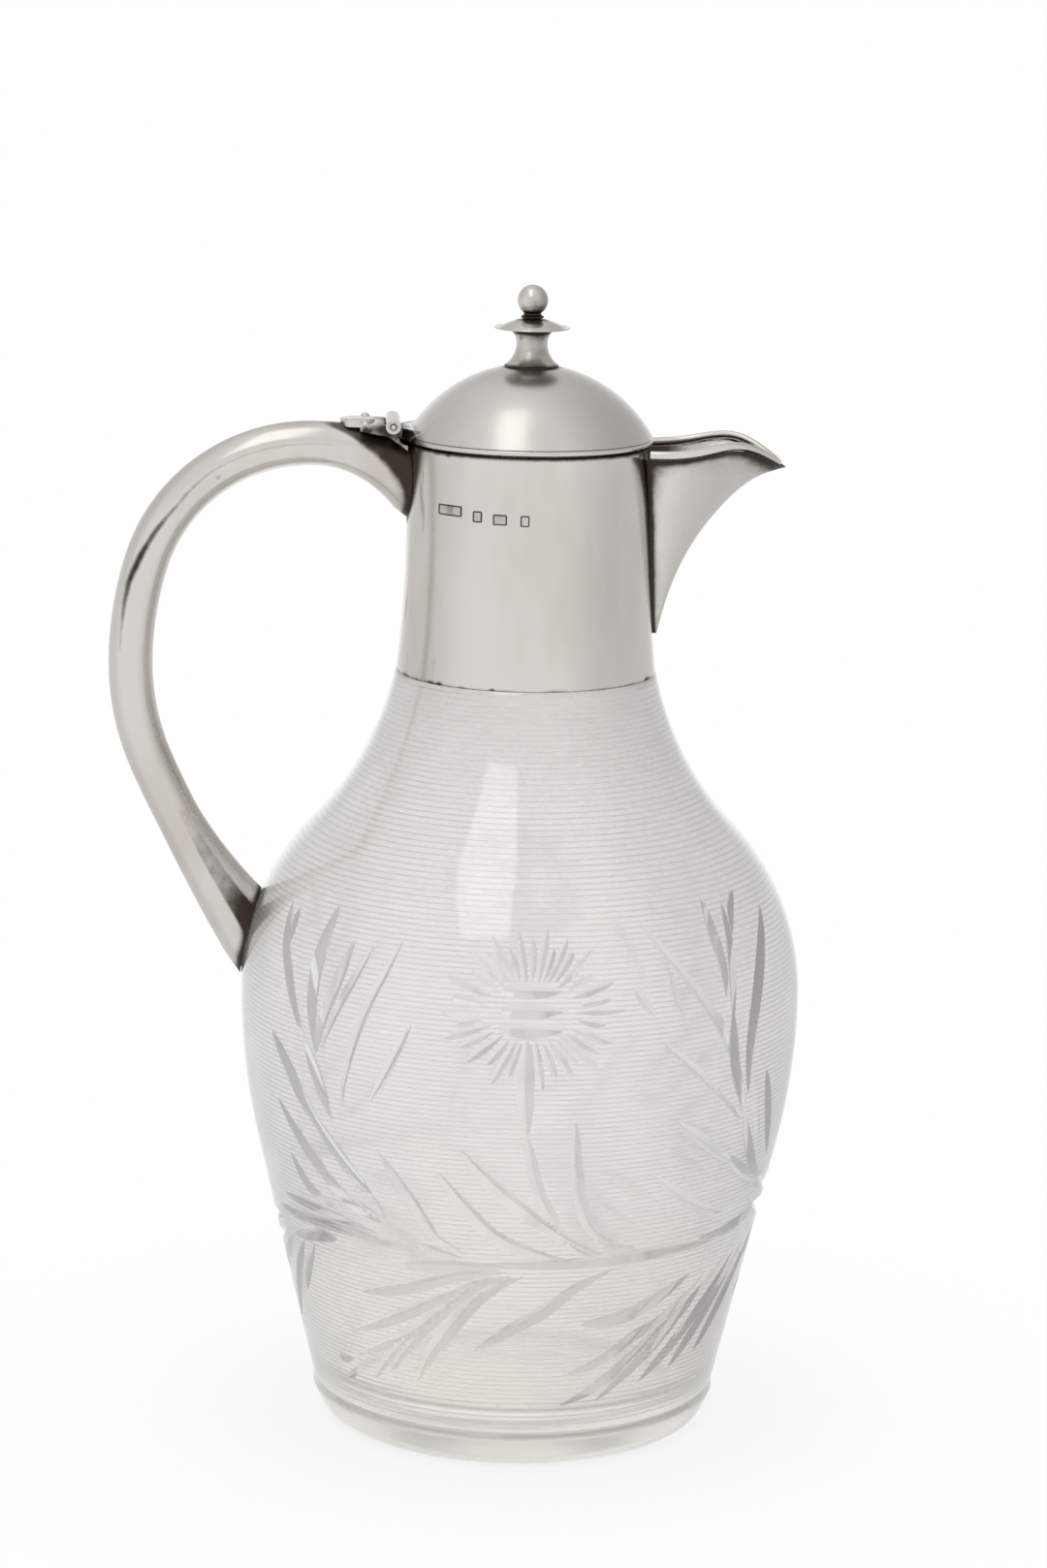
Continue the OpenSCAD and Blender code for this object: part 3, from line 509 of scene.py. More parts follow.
# ---- Materials ----
class Tree:
    """Small builder for node trees."""

    def __init__(self, tree):
        self.tree = tree

    def node(self, kind, **values):
        n = self.tree.nodes.new(kind)
        for key, value in values.items():
            setattr(n, key, value)
        return n

    def put(self, n, name, value):
        """Sets or links one input of a node."""
        socket = n.inputs[name]
        if isinstance(value, bpy.types.NodeSocket):
            self.tree.links.new(value, socket)
        else:
            socket.default_value = value

    def made(self, kind, values, **settings):
        """A new node with these inputs set or linked; gives its first output."""
        n = self.node(kind, **settings)
        for name, value in values.items():
            self.put(n, name, value)
        return n.outputs[0]

    def math(self, operation, *values, clamp=False):
        return self.made("ShaderNodeMath", dict(enumerate(values)), operation=operation, use_clamp=clamp)

    def add(self, a, b, clamp=False):
        return self.math("ADD", a, b, clamp=clamp)

    def sub(self, a, b):
        return self.math("SUBTRACT", a, b)

    def mul(self, a, b):
        return self.math("MULTIPLY", a, b)

    def ramp(self, value, low, high, out_low=0.0, out_high=1.0):
        """Value between low and high, eased, to a new range."""
        return self.made("ShaderNodeMapRange", dict(enumerate((value, low, high, out_low, out_high))),
                         interpolation_type="SMOOTHSTEP", clamp=True)

    def noise(self, vector, scale, detail=3.0, rough=0.5):
        return self.made("ShaderNodeTexNoise", {
            "Vector": vector, "Scale": scale, "Detail": detail, "Roughness": rough})

    def place(self):
        """The place on the piece, in metres."""
        return self.node("ShaderNodeTexCoord").outputs["Object"]

    def split(self, vector):
        """The x, y and z of a vector."""
        n = self.node("ShaderNodeSeparateXYZ")
        self.put(n, 0, vector)
        return n.outputs

    def stretched(self, vector, scale, turn=(0.0, 0.0, 0.0)):
        """A vector turned and scaled, which draws noise out along its small axis."""
        return self.made("ShaderNodeMapping", {"Vector": vector, "Rotation": turn, "Scale": scale})

    def mask(self, name):
        """A mask that the mesh keeps."""
        return self.node("ShaderNodeAttribute", attribute_name=name).outputs["Fac"]

    def bump(self, height, distance, strength=1.0, **more):
        """The normal of a face with this relief."""
        values = {"Height": height, "Distance": distance, "Strength": strength, **more}
        return self.made("ShaderNodeBump", values)

    def mix(self, factor, a, b):
        n = self.node("ShaderNodeMix", data_type="RGBA")
        self.put(n, 0, factor)
        for i, v in ((6, a), (7, b)):
            self.put(n, i, (*v, 1.0) if isinstance(v, (tuple, list)) and len(v) == 3 else v)
        return n.outputs[2]


def new_group(name, inputs, outputs):
    """An empty shader node group with named sockets, as a Tree and its two end nodes."""
    group = bpy.data.node_groups.new(name, "ShaderNodeTree")
    for label, kind, default in inputs:
        socket = group.interface.new_socket(name=label, in_out="INPUT", socket_type=kind)
        socket.default_value = default
    for label, kind in outputs:
        group.interface.new_socket(name=label, in_out="OUTPUT", socket_type=kind)
    t = Tree(group)
    return t, t.node("NodeGroupInput"), t.node("NodeGroupOutput")


def aged_silver_group():
    """Clouding, crevice tarnish and the painted shade and shadows that share its mask, and fine wiping scratches,
    shared by all the silver.
    """
    name = "AgedSilver"
    if name in bpy.data.node_groups:
        return bpy.data.node_groups[name]
    colour, value = "NodeSocketColor", "NodeSocketFloat"
    t, start, end = new_group(name, [
        ("Clean", colour, (0.8, 0.8, 0.8, 1)), ("Tarnish", colour, (0.05, 0.04, 0.03, 1)),
        ("Soil", value, 0.0), ("Cloud", value, 0.3), ("Roughness", value, 0.3)],
        [("Color", colour), ("Roughness", value), ("Height", value)])
    place = t.place()
    wide = t.noise(t.stretched(place, (1.0, 1.0, 0.35)), 46.0, 3.0, 0.55)
    fine = t.noise(place, 900.0, 4.0, 0.65)
    spots = t.noise(place, 210.0, 5.0, 0.7)
    cloud = t.mul(t.ramp(wide, 0.42, 0.72), start.outputs["Cloud"])
    edge = t.add(start.outputs["Soil"], t.mul(t.sub(spots, 0.5), 0.55))
    soil = t.mul(t.ramp(edge, 0.22, 0.95), t.ramp(start.outputs["Soil"], 0.02, 0.2))
    speck = t.mul(t.ramp(spots, 0.70, 0.80), 0.35)
    warm = t.mix(cloud, start.outputs["Clean"], (0.50, 0.43, 0.385))
    warm = t.mix(t.mul(speck, 0.5), warm, (0.36, 0.31, 0.27))
    brown = t.mix(t.ramp(start.outputs["Soil"], 0.1, 0.6), (0.27, 0.205, 0.155), start.outputs["Tarnish"])
    t.put(end, "Color", t.mix(soil, warm, brown))
    rough = t.add(start.outputs["Roughness"], t.mul(t.sub(fine, 0.5), 0.05))
    rough = t.add(rough, t.mul(soil, 0.22), clamp=True)
    t.put(end, "Roughness", rough)
    upright = t.noise(t.stretched(place, (1.0, 1.0, 0.12)), 2600.0, 2.0)
    slanted = t.noise(t.stretched(place, (0.1, 1.0, 1.0), (0.5, 0.3, 0.9)), 2100.0, 2.0)
    t.put(end, "Height", t.add(t.mul(t.add(upright, slanted), 0.5), t.mul(soil, -0.8)))
    return t.tree


def material(name):
    """A new material, its Tree and its Principled node."""
    m = bpy.data.materials.new(name)
    m.use_nodes = True
    t = Tree(m.node_tree)
    return m, t, m.node_tree.nodes["Principled BSDF"]


def silver(name, cloud=0.35, rough=0.0, extra=None):
    """Satin silver; extra adds soil worked out from the place on the piece."""
    if name in bpy.data.materials:
        return bpy.data.materials[name]
    own = bpy.context.scene.claret_silver
    m, t, shader = material(name)
    g = t.node("ShaderNodeGroup", node_tree=aged_silver_group())
    soil, height = t.mask("soil"), None
    if extra:
        more, height = extra(t)
        soil = t.add(soil, more, clamp=True)
    for label, value in (("Soil", soil), ("Clean", (*own.colour, 1)), ("Tarnish", (*own.tarnish, 1)),
                         ("Cloud", cloud), ("Roughness", own.roughness + rough)):
        t.put(g, label, value)
    normal = t.bump(g.outputs["Height"], 0.000012, 0.3)
    if height is not None:
        normal = t.bump(height, 0.0003, Normal=normal)
    for label, value in (("Base Color", g.outputs["Color"]), ("Roughness", g.outputs["Roughness"]),
                         ("Metallic", 1.0), ("Normal", normal)):
        t.put(shader, label, value)
    return m


def inner_glass_material():
    """The blown inner face, with faint waves and no threads."""
    own = bpy.context.scene.claret_glass
    m, t, shader = material("BlownGlass")
    place = t.place()
    t.put(shader, "Normal", t.bump(t.noise(place, 24.0, 2.0), 0.0004, 0.5))
    t.put(shader, "Base Color", (*own.colour, 1))
    t.put(shader, "Roughness", t.ramp(t.noise(place, 40.0, 3.0), 0.3, 0.7, 0.01, 0.06))
    t.put(shader, "IOR", 1.5)
    t.put(shader, "Transmission Weight", 1.0)
    return m


def glass_material():
    """Threaded glass; the threads stop inside the cuts."""
    own = bpy.context.scene.claret_glass
    m, t, shader = material("ThreadedGlass")
    place = t.place()
    z = t.split(place)[2]
    wave = t.ramp(t.math("PINGPONG", t.math("DIVIDE", z, own.thread_pitch), 0.5), 0.03, 0.30)
    plain = t.sub(1.0, t.mask("cut"))
    high = t.mul(t.ramp(z, 0.0098, 0.0125), t.ramp(z, 0.1784, 0.1776))
    worn = t.ramp(t.noise(place, 60.0, 3.0), 0.3, 0.6, 0.55, 1.0)
    threads = t.bump(t.mul(t.mul(wave, plain), t.mul(high, worn)), own.thread_depth)
    t.put(shader, "Normal", t.bump(t.noise(place, 420.0, 3.0), 0.00002, 0.3, Normal=threads))
    # painted shade at the bottom of each thread, kept out of the cuts
    face = t.mul(t.mul(high, plain), t.sub(1.0, t.ramp(wave, 0.1, 0.7)))
    body = t.mix(t.ramp(z, 0.075, 0.01), tuple(own.colour), (0.985, 0.965, 0.88))
    body = t.mix(t.ramp(z, 0.150, 0.178), body, (0.82, 0.79, 0.765))
    # painted shade on the flank of each cut that faces up and to the left
    body = t.mix(t.mask("shade"), body, (0.70, 0.685, 0.66))
    t.put(shader, "Base Color", t.mix(face, body, tuple(own.thread_shade)))
    t.put(shader, "Roughness", t.add(0.08, t.mul(t.noise(place, 90.0, 4.0), 0.1)))
    for label, value in (("IOR", 1.5), ("Coat Weight", 1.0), ("Coat Roughness", 0.05), ("Coat IOR", 2.2),
                         ("Transmission Weight", own.clearness)):
        t.put(shader, label, value)
    return m


def plaster_material():
    """Matt cement with fine grain."""
    if "Plaster" in bpy.data.materials:
        return bpy.data.materials["Plaster"]
    m, t, shader = material("Plaster")
    grain = t.noise(t.place(), 700.0, 5.0, 0.7)
    t.put(shader, "Base Color", t.mix(grain, (0.60, 0.56, 0.48), (0.74, 0.70, 0.62)))
    t.put(shader, "Roughness", t.add(0.8, t.mul(grain, 0.15)))
    t.put(shader, "Normal", t.bump(grain, 0.0002))
    return m


def place_piece(obj, body, slot, *nodes):
    """Ties a finished piece to its body and hides the solids it stands for; the slot is not used."""
    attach(obj, body)
    if nodes:
        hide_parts(*nodes)


def repaint(node, mat):
    """Gives a solid that stays its own material."""
    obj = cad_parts[node]
    obj.data.materials.clear()
    obj.data.materials.append(mat)


# ---- Glass ----
def glass_patch(cuts, columns, z_low, z_high):
    """Half of the cut wall as flat points (radians, height) with triangles."""
    half_turn = columns // 2
    first = -math.pi / 2 - 0.06
    scale = 60.0  # millimetres for a radian, about the jug's radius
    rows = np.linspace(z_low, z_high, 76)
    pts, edges = [], []
    grid_phi = first + np.arange(half_turn + 1) * np.pi / half_turn

    def add_chain(points):
        """Adds points with the edges between neighbours."""
        start = len(pts)
        pts.extend((phi * scale, z) for phi, z in points)
        edges.extend((i, i + 1) for i in range(start, len(pts) - 1))

    for phi in (grid_phi[0], grid_phi[-1]):
        add_chain([(phi, z) for z in rows])
    for z in (rows[0], rows[-1]):
        add_chain([(phi, z) for phi in grid_phi])
    g, h = np.meshgrid(grid_phi[1:-1], rows[1:-1])
    g = g + (np.arange(len(rows) - 2) % 2)[:, None] * (0.5 * np.pi / half_turn)
    g, h = g.ravel(), h.ravel()
    wide = Cuts.__new__(Cuts)
    wide.slope = 1.0
    wide.lines = [(line, half + 0.45) for line, half in cuts.lines]
    depth = wide.at(g, h)[0]
    keep = (depth <= 0) & (g < grid_phi[-1] - 0.3 * np.pi / half_turn)
    pts.extend(zip(g[keep] * scale, h[keep]))
    for line, half in cuts.lines:
        if line[:, 0].max() < first - 0.12 or line[:, 0].min() > first + math.pi + 0.12:
            continue
        r, stretch = glass_r(line[:, 1]), np.sqrt(1 + glass_slope(line[:, 1]) ** 2)
        d = np.gradient(line, axis=0) * np.column_stack([r, stretch])
        d /= np.hypot(d[:, 0], d[:, 1])[:, None]
        off = np.column_stack([-d[:, 1] / r, d[:, 0] / stretch])
        for side in (-1, 0, 1):
            run = line + off * (side * half)[:, None]
            run[0], run[-1] = line[0], line[-1]
            add_chain(run)
    out, _, tris, _, _, _ = geometry.delaunay_2d_cdt([Vector(p) for p in pts], edges, [], 0, 1e-4)
    flat = np.array([(v.x / scale, v.y) for v in out])
    tris = np.array(tris)
    mid = flat[tris].mean(axis=1)
    tris = tris[(mid[:, 0] > grid_phi[0]) & (mid[:, 0] < grid_phi[-1])
                & (mid[:, 1] > z_low) & (mid[:, 1] < z_high)]
    used = np.unique(tris)
    back = np.full(len(flat), -1)
    back[used] = np.arange(len(used))
    return flat[used], back[tris], (grid_phi[0], grid_phi[-1])


def on_glass(phi, z, depth):
    """Points of the outer face, sunk by depth, and the face's direction there."""
    slope = glass_slope(z)
    n = np.column_stack([np.sin(phi), -np.cos(phi), -slope]) / np.sqrt(1 + slope ** 2)[:, None]
    r = glass_r(z)
    return np.column_stack([r * np.sin(phi), -r * np.cos(phi), z]) - n * depth[:, None], n


def weld(verts, faces, border):
    """Joins border points that lie on each other and returns faces on the joined points."""
    tree = kdtree.KDTree(len(border))
    for i in border:
        tree.insert(verts[i], int(i))
    tree.balance()
    swap = np.arange(len(verts))
    for i in border:
        swap[i] = min(k for _, k, _ in tree.find_range(verts[i], 0.004))
    return [tuple(int(swap[v]) for v in f) for f in faces]


def plain_outlines():
    """Outlines of the uncut glass: foot and band, then neck, mouth, inner face and floor."""
    side_in, taper = glass_side(WALL, 16)
    low = side_in[0]
    slope = math.tan(math.radians(-taper))
    corner = 9.0
    floor_x = low[0] - (low[1] - FLOOR) * slope - corner * (1 - slope)
    inner = np.vstack([arc((floor_x, FLOOR + corner), corner, -90, taper, 10), side_in])
    neck = [(float(collar_out(z)) - NECK_IN, z) for z in np.linspace(178.8, MOUTH_Z - 2.3, 8)]
    inner_top = float(collar_out(MOUTH_Z)) - NECK_IN - WALL
    foot = arc((FOOT_R, FOOT_ROUND), FOOT_ROUND, -90, -20, 8)
    band = [(BASE_R, 7.4), (BASE_R - 0.1, 8.1), (BASE_R - 0.5, 8.7), (BASE_R - GROOVE, BAND_H),
            (BASE_R - 0.5, 9.3), (BASE_R - 0.1, 9.8), (float(glass_r(10.6)), 10.6),
            (float(glass_r(CUT_FROM)), CUT_FROM)]
    under = [(0.0, 2.2), (20.0, 1.9), (34.0, 0.9), (37.0, 0.1), (FOOT_R - 1, 0.0)]
    above = [(float(glass_r(CUT_TO)), CUT_TO), (float(glass_r(177.4)), 177.4), (30.1, 178.2), (29.7, 178.4)]
    mouth = arc((inner_top + 2.3, MOUTH_Z - 2.3), 2.3, 10, 180, 8)
    return (under + foot.tolist() + band,
            above + neck + mouth.tolist() + inner[::-1].tolist() + [(20.0, FLOOR), (0.0, FLOOR)])


class CLARET_OT_glass(bpy.types.Operator):
    """Build the cut glass body"""
    bl_idname = "claret.glass"
    bl_label = "Glass body"

    def execute(self, context):
        own = context.scene.claret_glass
        cuts = Cuts(own.cut_slope)
        n = own.columns // 2 * 2
        z_low, z_high = CUT_FROM, CUT_TO
        flat, tris, ends = glass_patch(cuts, n, z_low, z_high)
        depth = cuts.at(flat[:, 0], flat[:, 1])[0]
        verts, normals, faces, cut_side, border = [], [], [], [], []
        for half in (0, 1):
            phi = flat[:, 0] + half * math.pi
            p, nrm = on_glass(phi, flat[:, 1], depth)
            first = len(verts)
            verts.extend(p)
            normals.extend(nrm)
            on_edge = ((np.abs(flat[:, 0] - ends[0]) < 1e-4) | (np.abs(flat[:, 0] - ends[1]) < 1e-4)
                       | (np.abs(flat[:, 1] - z_low) < 1e-3) | (np.abs(flat[:, 1] - z_high) < 1e-3))
            border.extend((np.flatnonzero(on_edge) + first).tolist())
            mid = flat[tris].mean(axis=1)
            d, which, aside = cuts.at(mid[:, 0], mid[:, 1])
            for tri, k, a in zip(tris + first, (d > 0.015), aside):
                faces.append(tuple(int(v) for v in tri))
                cut_side.append((a[0], a[1]) if k else None)
        angles = ends[0] + np.arange(n) * 2 * np.pi / n
        plain_from = len(faces)
        for end, outline in zip((-1, 0), plain_outlines()):
            rows = []
            line = np.array(outline)
            tangent = np.gradient(line, axis=0)
            for (r, z), (dr, dz) in zip(line, tangent):
                length = math.hypot(dr, dz) or 1.0
                nr, nz = dz / length, -dr / length
                count = 1 if r < ON_AXIS else n
                rows.append((len(verts), count))
                for a in angles[:count]:
                    verts.append(np.array([r * math.sin(a), -r * math.cos(a), z]))
                    normals.append(np.array([nr * math.sin(a), -nr * math.cos(a), nz]))
            border.extend(range(rows[end][0], rows[end][0] + n))
            for lower, upper in zip(rows, rows[1:]):
                faces.extend(ring_faces(lower, upper, n))
        cut_side.extend([None] * (len(faces) - plain_from))
        verts, normals = np.array(verts), np.array(normals)
        faces = weld(verts, faces, border)
        used = np.unique([v for f in faces for v in f])
        back = np.full(len(verts), -1)
        back[used] = np.arange(len(used))
        kept = [(tuple(int(back[v]) for v in f), c) for f, c in zip(faces, cut_side) if len(set(f)) == len(f)]
        faces, cut_side = [f for f, _ in kept], [c for _, c in kept]
        verts, normals = verts[used], normals[used]
        obj = new_object("cut_glass_body", verts, faces, [glass_material(), inner_glass_material()])
        mesh = obj.data
        inner = []
        for i, centre in enumerate(polygon.center / MM for polygon in mesh.polygons):
            deep = math.hypot(*centre.xy) < float(glass_r(centre.z)) - 3.0
            inner.append(int(i >= plain_from and deep and centre.z > 4.5))
        mesh.polygons.foreach_set("material_index", inner)
        if len(mesh.polygons) != len(faces):
            raise RuntimeError("the glass lost faces")
        corner_normals, mask, shade = [], [], []
        for f, c in zip(faces, cut_side):
            for v in f:
                nrm = normals[v]
                if c is not None:
                    across = Vector((-nrm[1], nrm[0], 0)).normalized()
                    up = Vector(nrm).cross(across)
                    tilt = (across * float(c[0]) + up * float(c[1])) * own.cut_slope
                    corner_normals.append((Vector(nrm) - tilt).normalized())
                else:
                    corner_normals.append(Vector(nrm))
                mask.append(0.0 if c is None else 1.0)
                # painted shade mask: 1 where a cut's flank faces up and to the left
                shade.append(0.0 if c is None else max(0.0, 0.75 * c[0] - 0.66 * c[1]))
        mesh.normals_split_custom_set(corner_normals)
        set_mask(mesh, "cut", "CORNER", mask)
        set_mask(mesh, "shade", "CORNER", shade)
        place_piece(obj, "jug", "glass", "glass_body")
        for node in ("neck_cement", "handle_end_filling"):
            repaint(node, plaster_material())
        return {"FINISHED"}


# ---- Silver mount ----
# The collar's blank struck dents: middle in x and z, half width and half height
DENTS = ((-18.6, 218.2, 2.5, 1.15), (-12.6, 217.4, 0.95, 1.2), (-7.6, 217.0, 1.5, 1.15),
         (-2.0, 216.9, 0.95, 1.2))


def collar_marks(t):
    """Tarnish and height of the dents, and streaks of tarnish on the side of the handle."""
    place = t.place()
    x, y, z = t.split(place)

    def within(value, middle, half):
        """One inside a dent's half width, falling to zero over its edge."""
        away = t.math("ABSOLUTE", t.sub(value, middle * MM))
        return t.ramp(away, (half + 0.2) * MM, (half - 0.3) * MM)

    dents = 0.0
    for mid_x, mid_z, half_w, half_h in DENTS:
        dents = t.math("MAXIMUM", dents, t.mul(within(x, mid_x, half_w), within(z, mid_z, half_h)))
    dents = t.mul(dents, t.ramp(y, 0.0, -0.005))
    rim = t.mul(dents, t.sub(1.0, t.ramp(dents, 0.75, 1.0)))
    streak = t.ramp(t.noise(t.stretched(place, (1.0, 1.0, 0.1)), 330.0, 4.0, 0.6), 0.45, 0.75)
    streak = t.mul(t.mul(streak, t.ramp(x, -0.012, -0.027, 0.12, 0.6)), t.ramp(y, 0.004, -0.006, 0.3, 1.0))
    soil = t.add(t.mul(rim, 2.6), t.mul(dents, 0.42))
    return t.add(soil, streak), t.mul(dents, -1.0)


class CLARET_OT_collar(bpy.types.Operator):
    """Build the collar with its window into the spout"""
    bl_idname = "claret.collar"
    bl_label = "Collar"

    def execute(self, context):
        nu, nv = 361, 72
        edge = 0.25
        z = np.concatenate([[COLLAR_Z + 0.02, COLLAR_Z + 0.1, COLLAR_Z + edge],
                            np.linspace(COLLAR_Z + 1, COLLAR_TOP - 1, nv - 6),
                            [COLLAR_TOP - edge, COLLAR_TOP - 0.1, COLLAR_TOP]])
        ease = np.array([0.2, 0.08, 0.0] + [0.0] * (nv - 6) + [0.0, 0.08, 0.2])
        share = (z - SPOUT_Z) / (SEAM_TOP - SPOUT_Z)
        window = np.where(z > 203.0, np.maximum(seam_half(share) - SPOUT_T - 0.4, 0.02), 0.02)
        outer, inner = [], []
        for zz, e, w in zip(z, ease, window):
            r = float(collar_out(zz))
            gap = math.asin(w / r)
            a = np.linspace(gap, 2 * np.pi - gap, nu)
            outer.append(np.column_stack([(r - e) * np.cos(a), (r - e) * np.sin(a), np.full(nu, zz)]))
            q = r - COLLAR_T
            inner.append(np.column_stack([q * np.cos(a), q * np.sin(a), np.full(nu, zz)]))
        verts = np.vstack(outer + inner)
        x, y, h = verts[:, 0], verts[:, 1], verts[:, 2]
        s = np.clip((h - SPOUT_Z) / (SEAM_TOP - SPOUT_Z), 0, 1)
        seam = np.abs(np.abs(y) - seam_half(s))
        near = (x > 0) & (h > SPOUT_Z - 2)
        soil = np.where(near, 0.95 * bell(seam, 0.7 + 0.5 * s) + 0.38 * bell(seam, 2.8), 0)
        trace = handle_grid(0.0, 64, 3)[:64]
        mid_z = (trace[:, 2].max() + trace[:, 2].min()) / 2
        e = np.hypot(y / trace[:, 1].max(), (h - mid_z) / (trace[:, 2].max() - mid_z))
        soil += np.where(x < 0, 1.0 * bell(np.maximum(e - 1, 0) * 8, 0.9) + 0.3 * bell((e - 1) * 8, 2.6), 0)
        turn = np.arctan2(x, -y)
        chips = bell(turn + 0.76, 0.03) + bell(turn - 1.15, 0.05) + 0.6 * bell(turn + 0.3, 0.02)
        line = (0.5 + 0.25 * np.sin(9 * turn) ** 2) * bell(h - COLLAR_Z, 0.45)
        soil += line + 0.9 * chips * bell(h - COLLAR_Z, 1.1)
        # painted shadow: a dark line along the collar's top edge, in the gap under the lid's rim
        soil += 0.95 * bell(h - COLLAR_TOP, 0.3) + 0.3 * bell(h - COLLAR_TOP, 1.2)
        soil += np.where(np.hypot(x, y) < collar_out(h) - 0.5, 0.25, 0)
        obj = new_object("collar_sleeve", verts, sheet_faces(nu, nv, False),
                         [silver("SilverCollar", 0.35, extra=collar_marks)], soil)
        sharpen(obj, 60)
        place_piece(obj, "jug", "silver", "collar")
        return {"FINISHED"}


class CLARET_OT_spout(bpy.types.Operator):
    """Build the spout's sheet"""
    bl_idname = "claret.spout"
    bl_label = "Spout"

    def execute(self, context):
        nu, nv = 121, 70
        u = np.linspace(-1, 1, nu)
        s = np.power(np.linspace(0.0, 1, nv), 0.85) * 0.97 + 0.03
        uu, ss = np.meshgrid(u, s)
        outer = spout_wall(uu, ss, 0).reshape(-1, 3)
        inner = spout_wall(uu, ss, SPOUT_T).reshape(-1, 3)
        verts = np.vstack([outer, inner])
        off = np.hypot(verts[:, 0], verts[:, 1]) - collar_out(verts[:, 2])
        under = np.tile(ss.ravel(), 2)
        soil = 0.95 * bell(np.maximum(off, 0), 0.7 + 0.6 * under) + 0.45 * bell(np.maximum(off, 0), 4.5)
        edge = 0.8 * bell((1 - under) * 43, 1.1) + 0.42 * bell((1 - under) * 43, 6.0)
        soil[:len(outer)] += edge[:len(outer)]
        # inner face: tarnish all over, and a painted shadow of the lid that is darkest near the collar
        soil[len(outer):] += 0.4 + 0.45 * bell(inner[:, 0] - 30, 9)
        obj = new_object("spout_sheet", verts, sheet_faces(nu, nv, False), [silver("SilverSpout", 0.3)], soil)
        sharpen(obj, 60)
        place_piece(obj, "jug", "silver", "spout")
        return {"FINISHED"}


def nodes_modifier(obj, build, sizes):
    """Adds a Geometry Nodes modifier whose tree build() fills, and sets its inputs, named sizes."""
    tree = bpy.data.node_groups.new(obj.name + "_nodes", "GeometryNodeTree")
    tree.interface.new_socket(name="Geometry", in_out="INPUT", socket_type="NodeSocketGeometry")
    for label in sizes:
        tree.interface.new_socket(name=label, in_out="INPUT", socket_type="NodeSocketFloat")
    tree.interface.new_socket(name="Geometry", in_out="OUTPUT", socket_type="NodeSocketGeometry")
    t = Tree(tree)
    start, end = t.node("NodeGroupInput"), t.node("NodeGroupOutput")
    t.put(end, "Geometry", build(t, start))
    mod = obj.modifiers.new("nodes", "NODES")
    mod.node_group = tree
    names = {i.name: i.identifier for i in tree.interface.items_tree if i.in_out == "INPUT"}
    for label, value in sizes.items():
        mod[names[label]] = value


def baked(obj):
    """Turns the evaluated object into a plain mesh and removes its modifiers."""
    deps = bpy.context.evaluated_depsgraph_get()
    mesh = bpy.data.meshes.new_from_object(obj.evaluated_get(deps))
    name = obj.name
    new = bpy.data.objects.new(name + "_made", mesh)
    bpy.data.objects.remove(obj)
    new.name = name
    return link(new)


def path_object(name, points):
    """A chain of edges in metres for a node tree to follow."""
    mesh = bpy.data.meshes.new(name)
    mesh.from_pydata([tuple(p) for p in points], [(i, i + 1) for i in range(len(points) - 1)], [])
    return link(bpy.data.objects.new(name, mesh))


def rounded_box(t, width, height, corner, count):
    """A flat rectangle with rounded corners, to sweep along a curve."""
    box = t.made("GeometryNodeCurvePrimitiveQuadrilateral", {"Width": width, "Height": height})
    return t.made("GeometryNodeFilletCurve", {0: box, "Count": count, "Radius": corner}, mode="POLY")


def finish_nodes(t, geo, mat):
    """The common end of a tree: realised, smooth and painted."""
    real = t.made("GeometryNodeRealizeInstances", {0: geo})
    smooth = t.made("GeometryNodeSetShadeSmooth", {0: real, "Shade Smooth": True})
    return t.made("GeometryNodeSetMaterial", {0: smooth, "Material": mat})


class CLARET_OT_lip(bpy.types.Operator):
    """Sweep the moulding along the spout's rim"""
    bl_idname = "claret.lip"
    bl_label = "Spout lip"

    def execute(self, context):
        own = context.scene.claret_silver
        u = np.linspace(-0.965, 0.965, 121)
        path = spout_wall(u, np.ones_like(u), SPOUT_T / 2) + [0, 0, LIP_H / 2 + 0.1]
        mat = silver("SilverLip", 0.2)

        def build(t, start):
            given = start.outputs
            curve = t.made("GeometryNodeMeshToCurve", {"Mesh": given["Geometry"]})
            level = t.made("GeometryNodeSetCurveNormal", {0: curve}, mode="Z_UP")
            profile = rounded_box(t, given["Width"], given["Height"], given["Rounding"], 5)
            return finish_nodes(t, t.made("GeometryNodeCurveToMesh", {
                "Curve": level, "Profile Curve": profile, "Fill Caps": True}), mat)

        obj = path_object("spout_lip_moulding", path * MM)
        nodes_modifier(obj, build, {"Width": own.lip_width, "Height": own.lip_height, "Rounding": 0.0007})
        obj = baked(obj)
        co = points_of(obj.data)
        near = np.array([np.argmin(np.abs(path - c).sum(axis=1)) for c in co])
        low = path[near, 2] - co[:, 2]
        soil = 0.9 * bell(low - LIP_H / 2, 0.35) + 0.35 * bell(low - 0.1, 0.14)
        set_mask(obj.data, "soil", "POINT", soil)
        sharpen(obj, 50)
        place_piece(obj, "jug", "silver", "spout_lip_wire")
        return {"FINISHED"}


